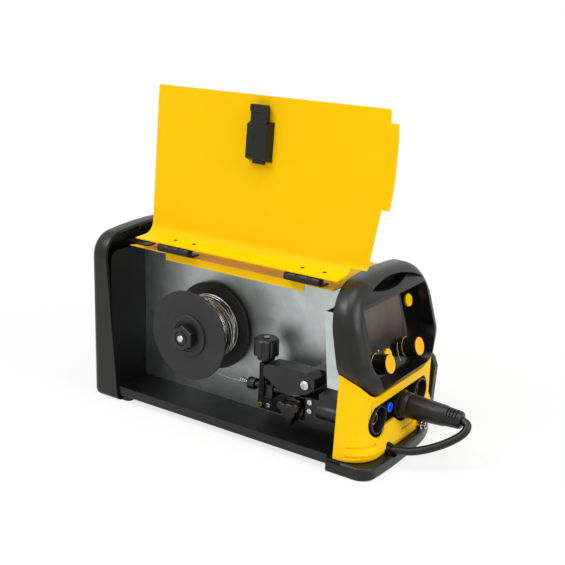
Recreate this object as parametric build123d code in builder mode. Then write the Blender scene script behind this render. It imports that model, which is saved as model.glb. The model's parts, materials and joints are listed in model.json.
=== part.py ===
from build123d import *
from math import cos, radians, sin, tan
import os

os.makedirs("parts", exist_ok=True)

# Compact wire-feed welder, standing on its base with the side door swung open.
# +X points to the control end, -Y to the wire compartment, +Z up. Millimetres.

# Shell sizes
half_width = 87.0          # centre plane to the outer face of the far skin
sheet = 1.2                # folded steel sheet
cover_gap = 0.6            # gap between neighbouring covers
floor_top = 8.0            # upper face of the chassis floor
lip_height = 9.5           # chassis lip above the floor
top_z = 181.0              # top of the main cover
cover_far_radius = 42.0    # bend between the cover's top and its far side
rear_wall_x = -166.0       # compartment face of the chassis rear wall
chassis_front_x = 130.4    # front end of the chassis floor
compartment_depth = 68.0
partition_y = compartment_depth - half_width   # compartment face of the partition
partition_front_x = 114.0  # front end of the partition

# Rear cover sizes
cap_overhang = 1.5         # rear cover and bumper stand out past the skins
cap_half_width = half_width + cap_overhang
cap_top = 198.0
cap_crown = 8.0            # rise of the crowned top
cap_back_x = -185.5
cap_edge_x = -149.0        # front edge of the rim at cap_edge_z
cap_edge_z = 17.0
cap_edge_slope = 0.085     # the front edge falls back by this much for each unit of height
cap_wall = 3.0
cap_top_radius = 28.0
cap_bottom_radius = 7.0
cap_back_radius = 9.0
foot_front_x = -136.0

# Hinge strip and door sizes
door_stand = 1.2           # the closed door stands out past the skins
door_half_width = half_width + door_stand
hinge_inset = 25.5         # hinge axis behind the face of the closed door
hinge_y = hinge_inset - door_half_width
hinge_z = 185.2
door_swing = 184.4         # turn of the open door away from its closed place
door_rear_x = -138.0
door_bottom_z = 12.5
door_bend_radius = 14.0
flange_edge_y = hinge_y + 3.2   # free edge of the hinge flange, door closed
flange_slope = 7.7
strip_top_z = 178.5
strip_edge_y = hinge_y + 5.7
strip_width = 15.0
strip_back_y = strip_edge_y + strip_width
strip_rear_x = -122.0
strip_front_x = 112.0
strip_lip_height = 8.5
strip_lip_rear_x = -102.0
strip_lip_front_x = 78.0
hinge_places_x = (-81.0, 84.0)
hinge_length = 54.0
barrel_radius = 4.5
hinge_pin_radius = 2.0
leaf_thickness = 2.0
leaf_screw_spacing = 26.0
screw_hole_radius = 1.7
running_gap = 0.06         # radial clearance of pins and shafts

# Latch sizes, door closed
latch_x = 1.5
latch_width = 30.0
latch_length = 41.0
latch_depth = 10.5
latch_draft = 16.0         # slope of the case's sides
latch_top_z = 79.5
tongue_width = 20.0
tongue_depth = 6.0
tongue_reach = 17.0        # how far the tongue stands out of its case
tongue_travel = 6.0
slide_gap = 0.4            # clearance of sliding pieces

# Front frame sizes
lean_z = 130.0             # height at which both leaning planes are placed
rim_x = 162.6
rim_lean = 16.7
frame_back_x = 133.6
frame_back_lean = 10.4
frame_bottom_z = 77.0
frame_half_width = half_width - 0.5
frame_bottom_half = frame_half_width - 28.0
frame_shoulder_low_z = 106.0
frame_corner_z = 185.0
frame_corner_radius = 48.0
frame_top_z = 192.5
frame_wall = 3.0
rim_radius = 16.0
seam_z = 103.0             # seam between frame and lower panel on the flanks
window_bottom_z = 87.0
window_half = frame_half_width - 17.0
window_bottom_half = window_half - 18.5
window_low_z = 114.0
window_top_z = 167.0
scoop_edge_z = 170.5       # front edge of the finger scoop
scoop_slope = 11.0
scoop_top_z = 187.0

# Control sizes
fascia_depth = 17.1        # fascia face behind the rim plane
fascia_thickness = 3.0
knob_half_spacing = 32.5
knob_drop = -23.5          # along the fascia from its middle
knob_radius = 10.3
knob_length = 15.0
knob_seat_gap = 0.6
knob_stem_radius = 3.0
cap_disc_radius = 9.5
button_radius = 7.0
button_stand = 2.0         # button face in front of the fascia
button_gap = 0.25          # radial clearance of a button in the fascia
button_rise = 22.5         # power button, up the fascia
button_inset = 15.8        # power button from the side of the window
mode_place = (-10.3, -20.3)
display_size = (74.0, 50.0)
display_y = -1.5
display_rise = 13.0
board_size_front = (108.0, 62.0)
board_post_spacing = (82.0, 54.0)
board_gap = 9.0            # control board behind the fascia
board_thickness = 1.6

# Lower panel, bumper and socket sizes
panel_half_width = half_width - 1.8   # near flank of the lower panel
panel_far_y = half_width - 8.0
panel_wall = 2.5
panel_bottom_z = 15.0
panel_sections = ((15.0, 172.5), (21.0, 174.0), (41.0, 165.0), (112.0, 165.0))   # height, front
panel_corner = 30.0
panel_far_corner = 12.0
panel_rear_x = 136.7
panel_rear_slope = 0.031
bumper_half_width = cap_half_width
bumper_front_x = 182.0     # front of the bowed plan
bumper_corner_x = 178.0    # near front corner before rounding
bumper_far_curve = ((180.0, half_width - 59.0), (161.0, half_width - 5.0))   # wide curve of the far corner
bumper_rear_x = 131.0
bumper_top_z = 14.4
bumper_corner = 17.0
bumper_edge_radius = 3.0
bumper_tongue_x = 106.0
cheek_front_x = 166.0
cheek_top_z = 78.0
socket_x = 166.5
socket_z = 50.6
socket_places = (-46.0, 5.0, 46.0)   # torch, polarity and earth socket, across the machine
socket_radius = 15.2
socket_depth = 18.5        # from rim to socket plate
socket_bore = 13.2
contact_radius = 6.0
contact_bore = 4.6
contact_recess = 5.5
opening_gap = 2.6
opening_low_z = 40.0       # edges of the opening between the sockets
opening_high_z = socket_z + socket_radius + cover_gap
socket_plate_thickness = 2.5
gas_fitting_y = -20.0
gas_fitting_z = 54.8
gas_fitting_radius = 5.3
remote_socket_y = 31.0
remote_socket_z = 21.0
remote_radius = 3.9
remote_nut = 4.5

# Plug and cable sizes
plug_pin_radius = 4.5
plug_collar_radius = 13.9
plug_radius = 13.0
plug_neck_radius = 10.8
plug_tail_radius = 8.2
plug_end = 67.0            # from the socket rim along the plug
cable_radius = 4.25
cable_bore_gap = 0.15
boot_depth = 6.0
cable_exit_y = -36.0
cable_exit_z = 17.5
grommet_radius = 6.4

# Wire drive sizes
wire_reach = 26.5          # wire out of the partition
wire_y = partition_y - wire_reach
wire_z = 50.0
wire_radius = 0.5
drive_x = 66.0
drive_radius = 13.0
idler_radius = 13.0
roll_width = 10.0
roll_gap = 0.3             # between the wire and each roll
shaft_radius = 4.0
feeder_rear_x = 11.0
feeder_front_x = 97.0
feeder_low_z = 18.5
feeder_high_z = 58.0
feeder_depth = 16.5
pivot_x = 84.0
pivot_z = 70.0
pivot_radius = 3.0
arm_width = 20.6
tension_x = 27.0
tension_pivot_z = 45.0
tension_rod_radius = 3.0
tension_collar_z = 82.5
tension_knob_z = 87.5
tension_top_z = 107.0
yoke_top_z = 79.5
tension_knob_radius = 13.5
roll_knob_reach = 15.5

# Spool sizes
spool_x = -60.0
spool_z = 95.0
spool_radius = 50.0
spool_width = 45.0
spool_bore_radius = 8.0
spool_barrel_radius = 26.0
spool_flange = 2.5
spool_wall_gap = 6.0
spool_side_gap = 0.6
winding_radius = 38.0      # middle of the outer layer of wire
winding_turns = 22
winding_wire_radius = 0.62
winding_margin = 1.4
hub_bolt_radius = 3.0

# Sizes of what the far side holds
fan_size = 80.0
fan_depth = 25.0
fan_y = (partition_y + half_width) / 2 - 2
fan_z = 78.0
fan_blades = 7
board_z = 14.0
switch_y = half_width - 41.0
switch_z = 152.0
rocker_pivot = 1.0         # rocker axle in front of the cover's back face
rocker_axle_radius = 1.5
rocker_axle_half = 12.8
gland_y = 6.0
gland_z = 152.0
gas_inlet_y = 6.0
gas_inlet_z = 34.0


# The written pieces have their origin under the middle of the machine's length
remote_reach = 10.5        # remote socket in front of the ledge
gas_inlet_reach = 18.0     # gas inlet behind the rear cover
middle_x = (panel_sections[0][1] + remote_reach + cap_back_x - gas_inlet_reach) / 2


def write(piece, name):
    """Label a finished piece and write it to its own file, moved to the part's origin."""
    placed = Pos(-middle_x, 0, 0) * piece
    placed.label = name
    export_step(placed, "parts/" + name + ".step")


def leaning(x, lean):
    """Plane across the machine that leans back by an angle; its normal points to the front."""
    tilt = radians(lean)
    return Plane(origin=(x, 0, lean_z), x_dir=(0, 1, 0), z_dir=(cos(tilt), 0, sin(tilt)))


def crossing_x(plane, z):
    """Where a leaning plane stands at a given height, on the centre plane."""
    return plane.origin.X - (z - plane.origin.Z) * plane.z_dir.Z / plane.z_dir.X


def reach(distance):
    """Plane at a distance out of the partition into the wire compartment; local x, y are X, Z."""
    return Plane(origin=(0, partition_y - distance, 0), x_dir=(1, 0, 0), z_dir=(0, -1, 0))


# Derived places
floor_bottom = floor_top - sheet
lip_y = half_width - sheet - cover_gap
lip_top = floor_top + lip_height
rim_plane = leaning(rim_x, rim_lean)
frame_back = leaning(frame_back_x, frame_back_lean)
fascia_plane = rim_plane.offset(-fascia_depth)
socket_plane = Plane(origin=(socket_x, 0, socket_z), x_dir=(0, 1, 0), z_dir=(1, 0, 0))
plug_plane = Plane(origin=(socket_x, socket_places[1], socket_z), x_dir=(0, 1, 0), z_dir=(1, 0, 0))
cap_tilt = Vector(1, 0, cap_edge_slope)
cap_edge = Plane(origin=(cap_edge_x, 0, cap_edge_z), x_dir=(0, 1, 0), z_dir=cap_tilt)
hinge_axis = Axis((0, hinge_y, hinge_z), (1, 0, 0))
drive_z = wire_z - wire_radius - roll_gap - drive_radius
idler_z = wire_z + wire_radius + roll_gap + idler_radius
sketch_rear_x = cap_back_x - 20
sketch_front_x = bumper_front_x + 30


def across(x):
    """Plane across the machine at X; local x, y are Y, Z."""
    return Plane.YZ.offset(x)


# Chassis: floor with two lips and the upright rear wall with its openings
wall_half = lip_y - 9.2
wall_top = 171.5
with BuildPart() as chassis:
    with BuildSketch(across(rear_wall_x)):
        with BuildLine():
            Polyline((-lip_y, lip_top), (-lip_y, floor_bottom), (lip_y, floor_bottom), (lip_y, lip_top))
            offset(amount=sheet, side=Side.LEFT)
        make_face()
    extrude(amount=chassis_front_x - rear_wall_x)
    with BuildSketch(across(rear_wall_x - sheet)) as rear_wall:
        with Locations((0, (wall_top + floor_bottom) / 2)):
            Rectangle(2 * wall_half, wall_top - floor_bottom)
        fillet(rear_wall.vertices().group_by(Axis.Y)[-1], 12)
        with Locations((fan_y, fan_z)):
            Circle(fan_size / 2 - 2, mode=Mode.SUBTRACT)
        with Locations(((switch_y + gland_y) / 2, switch_z)):
            Rectangle(switch_y - gland_y + 44, 30, mode=Mode.SUBTRACT)
        with Locations((gas_inlet_y, gas_inlet_z)):
            Circle(9, mode=Mode.SUBTRACT)
    extrude(amount=sheet)
    bends = chassis.edges().filter_by(Axis.X).group_by(Axis.Z)[0]
    fillet(bends, 1.0)
write(chassis.part, "chassis")


# Rear cover: moulded cap with a deep rim, crowned top, ribs, foot, grille and cut-outs
cap_shoulder = cap_top - cap_crown
with BuildPart() as rear_cover:
    with BuildSketch(across(cap_back_x)) as cap_outline:
        with BuildLine():
            Polyline(
                (-cap_half_width, cap_shoulder), (-cap_half_width, 0),
                (cap_half_width, 0), (cap_half_width, cap_shoulder),
            )
            ThreePointArc((cap_half_width, cap_shoulder), (0, cap_top), (-cap_half_width, cap_shoulder))
        make_face()
        fillet(cap_outline.vertices().group_by(Axis.Y)[-1], cap_top_radius)
        fillet(cap_outline.vertices().group_by(Axis.Y)[0], cap_bottom_radius)
    extrude(amount=cap_edge_x - cap_back_x + 10)
    split(bisect_by=cap_edge, keep=Keep.BOTTOM)
    fillet(rear_cover.faces().sort_by(Axis.X)[0].edges(), cap_back_radius)
    mouth = rear_cover.faces().sort_by(Axis.X)[-1]
    offset(amount=-cap_wall, openings=mouth)
    foot_depth = floor_bottom - 0.2
    with Locations((foot_front_x, 0, 0)):
        Box(
            foot_front_x - cap_edge_x + 20, 2 * (cap_half_width - cap_bottom_radius), foot_depth,
            align=(Align.MAX, Align.CENTER, Align.MIN),
        )
    foot_corners = rear_cover.edges().filter_by(Axis.Z).group_by(Axis.X)[-1]
    fillet(foot_corners, 6)
    rib_depth = 12
    for rib_y in (-45.0, -22.5, 0.0, 22.5, 45.0):
        rib_top = cap_top - cap_wall / 2 - cap_crown * (rib_y / cap_half_width) ** 2
        with Locations((cap_back_x + cap_wall, rib_y, rib_top)):
            Box(rib_depth, 2, 8, align=(Align.MIN, Align.CENTER, Align.MAX))
    with BuildSketch(across(cap_back_x)):
        with Locations((fan_y, fan_z)):
            with GridLocations(0, 9, 1, 8):
                SlotOverall(72, 5)
        with Locations((switch_y, switch_z)):
            Rectangle(27.4, 21.4)
        with Locations((gland_y, gland_z)):
            Circle(8)
        with Locations((gas_inlet_y, gas_inlet_z)):
            Circle(5)
    extrude(amount=cap_wall, mode=Mode.SUBTRACT)
write(rear_cover.part, "rear_cover")


# Partition: galvanised wall between the wire compartment and the power side
with BuildPart() as partition_plate:
    with BuildSketch(reach(-sheet)):
        with Locations(((rear_wall_x + partition_front_x) / 2, (floor_top + strip_top_z - sheet) / 2)):
            Rectangle(partition_front_x - rear_wall_x - cover_gap, strip_top_z - sheet - floor_top - 0.2)
        with Locations((drive_x, drive_z)):
            Circle(shaft_radius + 6, mode=Mode.SUBTRACT)
        with Locations((spool_x, spool_z)):
            Circle(hub_bolt_radius + 0.2, mode=Mode.SUBTRACT)
    extrude(amount=sheet)
write(partition_plate.part, "partition_plate")


# Main cover: top, far side and the sunk hinge strip with its turned-down lip
skin_front = frame_back.offset(-cover_gap)
skin_rear = cap_edge.offset(cover_gap)
cover_start_y = strip_back_y + 14
with BuildPart() as main_cover:
    with BuildSketch(across(sketch_rear_x)):
        with BuildLine():
            FilletPolyline(
                (strip_back_y, strip_top_z - sheet / 2), (cover_start_y, top_z - sheet / 2),
                (half_width - sheet / 2, top_z - sheet / 2), (half_width - sheet / 2, floor_bottom),
                radius=(6, cover_far_radius),
            )
        trace(line_width=sheet)
    extrude(amount=sketch_front_x - sketch_rear_x)
    split(bisect_by=skin_front, keep=Keep.BOTTOM)
    split(bisect_by=skin_rear, keep=Keep.TOP)
    with Locations((panel_rear_x - cover_gap, half_width, floor_bottom)):
        Box(
            40, 20, seam_z - floor_bottom,
            align=(Align.MIN, Align.CENTER, Align.MIN), mode=Mode.SUBTRACT,
        )
    with Locations((bumper_rear_x - cover_gap, half_width, floor_bottom)):
        Box(
            40, 20, bumper_top_z + cover_gap - floor_bottom,
            align=(Align.MIN, Align.CENTER, Align.MIN), mode=Mode.SUBTRACT,
        )
    with BuildSketch(across(strip_rear_x)):
        with Locations(((strip_edge_y + strip_back_y) / 2, strip_top_z - sheet / 2)):
            Rectangle(strip_back_y - strip_edge_y + sheet / 2, sheet)
    extrude(amount=strip_front_x - strip_rear_x)
    with BuildSketch(across(strip_lip_rear_x)):
        with Locations((strip_edge_y, strip_top_z)):
            Rectangle(sheet, strip_lip_height, align=(Align.MIN, Align.MAX))
    extrude(amount=strip_lip_front_x - strip_lip_rear_x)
write(main_cover.part, "main_cover")


# Side door: bent sheet with a stepped front edge, drawn closed and then swung open
flange_drop = tan(radians(flange_slope)) * (door_half_width + flange_edge_y)
flange_edge_z = hinge_z - barrel_radius - 0.2
flange_front_x = 120.0     # the flange stops short of the frame
bend_front_x = 137.5       # the bend and the flat below it reach past the frame's flank
bend_cut_z = 170.0
tab_high_z = 108.5
tab_low_z = 25.5
tab_root_x = 146.0
tab_front_x = (155.5, 159.8, 161.8)
leaf_holes = [
    place + side * leaf_screw_spacing / 2 for place in hinge_places_x for side in (-1, 1)
]
with BuildPart() as door_panel:
    with BuildSketch(across(door_rear_x)):
        with BuildLine():
            FilletPolyline(
                (flange_edge_y, flange_edge_z - sheet / 2),
                (-door_half_width + sheet / 2, flange_edge_z - flange_drop - sheet / 2),
                (-door_half_width + sheet / 2, door_bottom_z),
                radius=door_bend_radius,
            )
        trace(line_width=sheet)
    extrude(amount=sketch_front_x - door_rear_x)
    with BuildSketch(Plane.XZ) as front_waste:
        with BuildLine():
            Polyline(
                (sketch_front_x + 1, flange_edge_z + 5), (flange_front_x, flange_edge_z + 5),
                (flange_front_x, bend_cut_z), (bend_front_x, bend_cut_z), (tab_root_x, tab_high_z),
                (tab_front_x[0], tab_high_z),
            )
            middle_z = (tab_high_z + tab_low_z) / 2
            ThreePointArc((tab_front_x[0], tab_high_z), (tab_front_x[1], middle_z), (tab_front_x[2], tab_low_z))
            Polyline(
                (tab_front_x[2], tab_low_z), (tab_root_x + 1, tab_low_z),
                (tab_root_x, door_bottom_z - 1), (sketch_front_x + 1, door_bottom_z - 1),
                (sketch_front_x + 1, flange_edge_z + 5),
            )
        make_face()
    extrude(amount=2 * half_width, both=True, mode=Mode.SUBTRACT)
    hole_y = (flange_edge_y - door_half_width) / 2 - 0.5
    with Locations(*[(x, hole_y, flange_edge_z + 2) for x in leaf_holes]):
        Hole(screw_hole_radius, depth=12)
write(door_panel.part.rotate(hinge_axis, -door_swing), "door_panel")


# Hinges: one knuckle on the fixed leaf between two on the door leaf, round a steel pin
knuckle_gap = 0.4
middle_knuckle = 18.0
side_knuckle = (hinge_length - middle_knuckle) / 2 - knuckle_gap
base_leaf_back = strip_back_y - 1.5
with BuildPart() as hinge_base_leaves:
    for place in hinge_places_x:
        with BuildSketch(across(place - middle_knuckle / 2)):
            with Locations((hinge_y, hinge_z)):
                Circle(barrel_radius)
            with BuildLine():
                Polyline(
                    (hinge_y, hinge_z + barrel_radius), (hinge_y, hinge_z),
                    (strip_edge_y + 1.5, strip_top_z), (strip_edge_y + 6, strip_top_z),
                    (hinge_y, hinge_z + barrel_radius),
                )
            make_face()
            with Locations((hinge_y, hinge_z)):
                Circle(hinge_pin_radius + running_gap, mode=Mode.SUBTRACT)
        extrude(amount=middle_knuckle)
        with Locations((place, strip_edge_y + 1.5, strip_top_z)):
            Box(
                hinge_length - 6, base_leaf_back - strip_edge_y - 1.5, leaf_thickness,
                align=(Align.CENTER, Align.MIN, Align.MIN),
            )
write(hinge_base_leaves.part, "hinge_base_leaves")

leaf_front_y = -door_half_width + door_bend_radius + 4
with BuildPart() as hinge_door_leaves:
    for place in hinge_places_x:
        for side in (-1, 1):
            start = place + side * (middle_knuckle / 2 + knuckle_gap)
            end = place + side * hinge_length / 2
            with BuildSketch(across(min(start, end))):
                with Locations((hinge_y, hinge_z)):
                    Circle(barrel_radius)
                with BuildLine():
                    leaf_near = flange_edge_z - tan(radians(flange_slope)) * (flange_edge_y - hinge_y)
                    leaf_far = flange_edge_z - tan(radians(flange_slope)) * (flange_edge_y - leaf_front_y)
                    Polyline(
                        (hinge_y, hinge_z), (hinge_y, leaf_near), (leaf_front_y, leaf_far),
                        (leaf_front_y, leaf_far + leaf_thickness),
                        (hinge_y - barrel_radius, hinge_z), (hinge_y, hinge_z),
                    )
                make_face()
                with Locations((hinge_y, hinge_z)):
                    Circle(hinge_pin_radius + running_gap, mode=Mode.SUBTRACT)
            extrude(amount=side_knuckle)
        with BuildSketch(across(place - middle_knuckle / 2 - knuckle_gap)):
            bridge_y = hinge_y - barrel_radius - 2
            bridge_z = flange_edge_z - tan(radians(flange_slope)) * (flange_edge_y - bridge_y)
            with BuildLine():
                Polyline(
                    (bridge_y, bridge_z), (leaf_front_y, leaf_far),
                    (leaf_front_y, leaf_far + leaf_thickness), (bridge_y, bridge_z + leaf_thickness),
                    (bridge_y, bridge_z),
                )
            make_face()
        extrude(amount=middle_knuckle + 2 * knuckle_gap)
write(hinge_door_leaves.part.rotate(hinge_axis, -door_swing), "hinge_door_leaves")

with BuildPart() as hinge_pins:
    for place in hinge_places_x:
        with BuildSketch(across(place - hinge_length / 2)):
            with Locations((hinge_y, hinge_z)):
                Circle(hinge_pin_radius)
        extrude(amount=hinge_length)
write(hinge_pins.part, "hinge_pins")


# Latch: case on the inner face of the door with a sliding hooked tongue
latch_face_y = -door_half_width + sheet
latch_floor = 2.0
latch_plane = Plane(origin=(latch_x, latch_face_y, latch_top_z), x_dir=(-1, 0, 0), z_dir=(0, 1, 0))
with BuildPart() as latch_case:
    with BuildSketch(latch_plane):
        with Locations((0, -latch_length / 2)):
            Rectangle(latch_width, latch_length)
    extrude(amount=latch_depth, taper=latch_draft)
    with Locations((latch_x, latch_face_y + latch_floor, latch_top_z - 6)):
        Box(
            tongue_width + 2 * slide_gap, tongue_depth + 2 * slide_gap, latch_length,
            align=(Align.CENTER, Align.MIN, Align.MAX), mode=Mode.SUBTRACT,
        )
    with Locations((latch_x, latch_face_y + latch_depth, latch_top_z - latch_length * 0.58)):
        Box(7, 1, 8, mode=Mode.SUBTRACT)
    with Locations((latch_x, latch_face_y, latch_top_z)):
        Box(14, 4, 5, align=(Align.CENTER, Align.MIN, Align.CENTER))
write(latch_case.part.rotate(hinge_axis, -door_swing), "latch_case")

tongue_tip_z = latch_top_z - latch_length - tongue_reach
tongue_top_z = latch_top_z - 6 - tongue_travel - 1.5
tongue_back_y = latch_face_y + latch_floor + slide_gap
with BuildPart() as latch_tongue:
    with BuildSketch(across(latch_x)) as tongue_profile:
        with BuildLine():
            Polyline(
                (tongue_back_y, tongue_top_z), (tongue_back_y, tongue_tip_z + 2.5),
                (tongue_back_y + 2.5, tongue_tip_z), (tongue_back_y + tongue_depth + 2, tongue_tip_z),
                (tongue_back_y + tongue_depth + 2, tongue_tip_z + 7),
                (tongue_back_y + tongue_depth, tongue_tip_z + 9),
                (tongue_back_y + tongue_depth, tongue_top_z), (tongue_back_y, tongue_top_z),
            )
        make_face()
    extrude(amount=tongue_width / 2, both=True)
write(latch_tongue.part.rotate(hinge_axis, -door_swing), "latch_tongue")


# Front frame: leaning moulded bezel with a handle arch, a control window and a finger scoop
def frame_outline():
    """Front view of the frame, as a closed line."""
    Line((-frame_bottom_half, frame_bottom_z), (frame_bottom_half, frame_bottom_z))
    Line((frame_bottom_half, frame_bottom_z), (frame_half_width, frame_shoulder_low_z))
    Line((frame_half_width, frame_shoulder_low_z), (frame_half_width, frame_corner_z))
    ThreePointArc((frame_half_width, frame_corner_z), (0, frame_top_z), (-frame_half_width, frame_corner_z))
    Line((-frame_half_width, frame_corner_z), (-frame_half_width, frame_shoulder_low_z))
    Line((-frame_half_width, frame_shoulder_low_z), (-frame_bottom_half, frame_bottom_z))


def window_outline():
    """Front view of the control window, as a closed line."""
    Polyline(
        (-window_bottom_half, window_bottom_z), (window_bottom_half, window_bottom_z),
        (window_half, window_low_z), (window_half, window_top_z),
        (-window_half, window_top_z), (-window_half, window_low_z), (-window_bottom_half, window_bottom_z),
    )


def round_frame(sketch):
    """Round the corners of the frame outline."""
    corners = sketch.vertices().group_by(Axis.Y)
    fillet(corners[0], 32)
    fillet(sketch.vertices().filter_by_position(Axis.Y, frame_shoulder_low_z - 1, frame_shoulder_low_z + 1), 24)
    fillet(sketch.vertices().filter_by_position(Axis.Y, frame_corner_z - 1, frame_corner_z + 1), frame_corner_radius)


def round_window(sketch):
    """Round the corners of the control window."""
    corners = sketch.vertices().group_by(Axis.Y)
    fillet(corners[0], 14)
    fillet(sketch.vertices().filter_by_position(Axis.Y, window_low_z - 1, window_low_z + 1), 20)
    fillet(sketch.vertices().group_by(Axis.Y)[-1], 5)


with BuildPart() as scoop:
    with BuildSketch(Plane.XZ):
        scoop_back_x = crossing_x(frame_back, scoop_edge_z) + frame_wall
        scoop_front_x = crossing_x(rim_plane, scoop_edge_z)
        scoop_rise = (scoop_front_x - scoop_back_x) * tan(radians(scoop_slope))
        with BuildLine():
            Polyline(
                (scoop_front_x + 20, scoop_edge_z), (scoop_front_x, scoop_edge_z),
                (scoop_back_x, scoop_edge_z + scoop_rise), (scoop_back_x, scoop_top_z + 20),
                (scoop_front_x + 20, scoop_top_z + 20), (scoop_front_x + 20, scoop_edge_z),
            )
        make_face()
    extrude(amount=half_width, both=True)
    with BuildSketch(Plane.XY.offset(scoop_edge_z - 20)):
        with BuildLine():
            ThreePointArc((scoop_front_x, -window_half), (scoop_back_x, 0), (scoop_front_x, window_half))
            Polyline(
                (scoop_front_x, window_half), (scoop_front_x + 20, window_half),
                (scoop_front_x + 20, -window_half), (scoop_front_x, -window_half),
            )
        make_face()
    extrude(amount=80, mode=Mode.INTERSECT)
    with BuildSketch(across(sketch_rear_x)) as scoop_view:
        scoop_low_z = scoop_edge_z - 6
        with BuildLine():
            Polyline((window_half, scoop_edge_z), (window_half, scoop_low_z), (-window_half, scoop_low_z),
                     (-window_half, scoop_edge_z))
            ThreePointArc((-window_half, scoop_edge_z), (0, scoop_top_z), (window_half, scoop_edge_z))
        make_face()
    extrude(amount=sketch_front_x - sketch_rear_x, mode=Mode.INTERSECT)

with BuildPart() as frame_hollow:
    with BuildSketch(across(sketch_rear_x)) as hollow_view:
        with BuildLine():
            frame_outline()
        make_face()
        round_frame(hollow_view)
        offset(amount=-frame_wall, mode=Mode.REPLACE)
    extrude(amount=sketch_front_x - sketch_rear_x)
    with BuildSketch(across(sketch_rear_x)):
        with Locations((0, window_bottom_z - frame_wall)):
            Rectangle(2 * (window_half + frame_wall), frame_top_z, align=(Align.CENTER, Align.MIN))
    extrude(amount=sketch_front_x - sketch_rear_x, mode=Mode.SUBTRACT)
    split(bisect_by=rim_plane.offset(-0.75 * rim_radius), keep=Keep.BOTTOM)

with BuildPart() as front_frame:
    with BuildSketch(across(sketch_rear_x)) as frame_view:
        with BuildLine():
            frame_outline()
        make_face()
        round_frame(frame_view)
    extrude(amount=sketch_front_x - sketch_rear_x)
    split(bisect_by=rim_plane, keep=Keep.BOTTOM)
    fillet(front_frame.faces().sort_by(Axis.X)[-1].edges(), rim_radius)
    split(bisect_by=frame_back, keep=Keep.TOP)
    with BuildSketch(across(sketch_rear_x)) as window_view:
        with BuildLine():
            window_outline()
        make_face()
        round_window(window_view)
    extrude(amount=sketch_front_x - sketch_rear_x, mode=Mode.SUBTRACT)
    add(scoop.part, mode=Mode.SUBTRACT)
    add(frame_hollow.part, mode=Mode.SUBTRACT)
write(front_frame.part, "front_frame")


# Control fascia with its display, knobs, buttons and the board behind it
power_place = (window_half - button_inset, button_rise)
with BuildPart() as control_fascia:
    with BuildSketch(across(sketch_rear_x)) as fascia_view:
        with BuildLine():
            window_outline()
        make_face()
        round_window(fascia_view)
        offset(amount=-0.3, mode=Mode.REPLACE)
    extrude(amount=sketch_front_x - sketch_rear_x)
    split(bisect_by=fascia_plane, keep=Keep.BOTTOM)
    split(bisect_by=fascia_plane.offset(-fascia_thickness), keep=Keep.TOP)
    with BuildSketch(fascia_plane):
        with Locations((display_y, display_rise)):
            RectangleRounded(display_size[0], display_size[1], 3)
    extrude(amount=-1.2, mode=Mode.SUBTRACT)
    with BuildSketch(fascia_plane):
        with Locations((-knob_half_spacing, knob_drop), (knob_half_spacing, knob_drop)):
            Circle(knob_stem_radius + 0.5)
        with Locations(power_place, mode_place):
            Circle(button_radius + button_gap)
    extrude(amount=-fascia_thickness, mode=Mode.SUBTRACT)
write(control_fascia.part, "control_fascia")

with BuildPart() as display_window:
    with BuildSketch(fascia_plane.offset(-1.2)):
        with Locations((display_y, display_rise)):
            RectangleRounded(display_size[0] - 0.2, display_size[1] - 0.2, 2.9)
    extrude(amount=1.2)
write(display_window.part, "display_window")

with BuildPart() as control_board:
    with BuildSketch(fascia_plane.offset(-fascia_thickness - board_gap - board_thickness)):
        Rectangle(*board_size_front)
    extrude(amount=board_thickness)
    with BuildSketch(fascia_plane.offset(-fascia_thickness - board_gap)):
        with GridLocations(*board_post_spacing, 2, 2):
            Circle(3)
    extrude(amount=board_gap)
write(control_board.part, "control_board")

for side, name in ((-1, "left"), (1, "right")):
    knob_place = (side * knob_half_spacing, knob_drop)
    with BuildPart() as control_knob:
        with BuildSketch(fascia_plane.offset(knob_seat_gap)) as knob_base:
            with Locations(knob_place):
                Circle(knob_radius)
        with BuildSketch(fascia_plane.offset(knob_length)) as knob_top:
            with Locations(knob_place):
                Circle(knob_radius - 0.4)
        loft()
        with BuildSketch(fascia_plane.offset(knob_length)):
            with Locations(knob_place):
                Circle(cap_disc_radius + 0.05)
        extrude(amount=-1, mode=Mode.SUBTRACT)
        with BuildSketch(fascia_plane.offset(knob_seat_gap)):
            with Locations(knob_place):
                Circle(knob_stem_radius)
        extrude(amount=-knob_seat_gap - fascia_thickness - board_gap / 2)
        with BuildSketch(fascia_plane.offset(3)):
            with Locations(knob_place):
                with PolarLocations(knob_radius + 0.5, 12):
                    Circle(0.9)
        extrude(amount=knob_length, mode=Mode.SUBTRACT)
    write(control_knob.part, name + "_knob")
    with BuildPart() as knob_cap:
        with BuildSketch(fascia_plane.offset(knob_length - 1)):
            with Locations(knob_place):
                Circle(cap_disc_radius)
        extrude(amount=1.4)
        fillet(knob_cap.faces().sort_by(Axis.X)[-1].edges(), 0.5)
    write(knob_cap.part, name + "_knob_cap")

button_collar = 1.2
for place, name in ((power_place, "power_button"), (mode_place, "mode_button")):
    with BuildPart() as push_button:
        with BuildSketch(fascia_plane.offset(button_stand)):
            with Locations(place):
                Circle(button_radius)
        extrude(amount=-button_stand - fascia_thickness - button_collar)
        fillet(push_button.faces().sort_by(Axis.X)[-1].edges(), 0.8)
        with BuildSketch(fascia_plane.offset(-fascia_thickness)):
            with Locations(place):
                Circle(button_radius + button_collar)
        extrude(amount=-button_collar)
    write(push_button.part, name)


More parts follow.
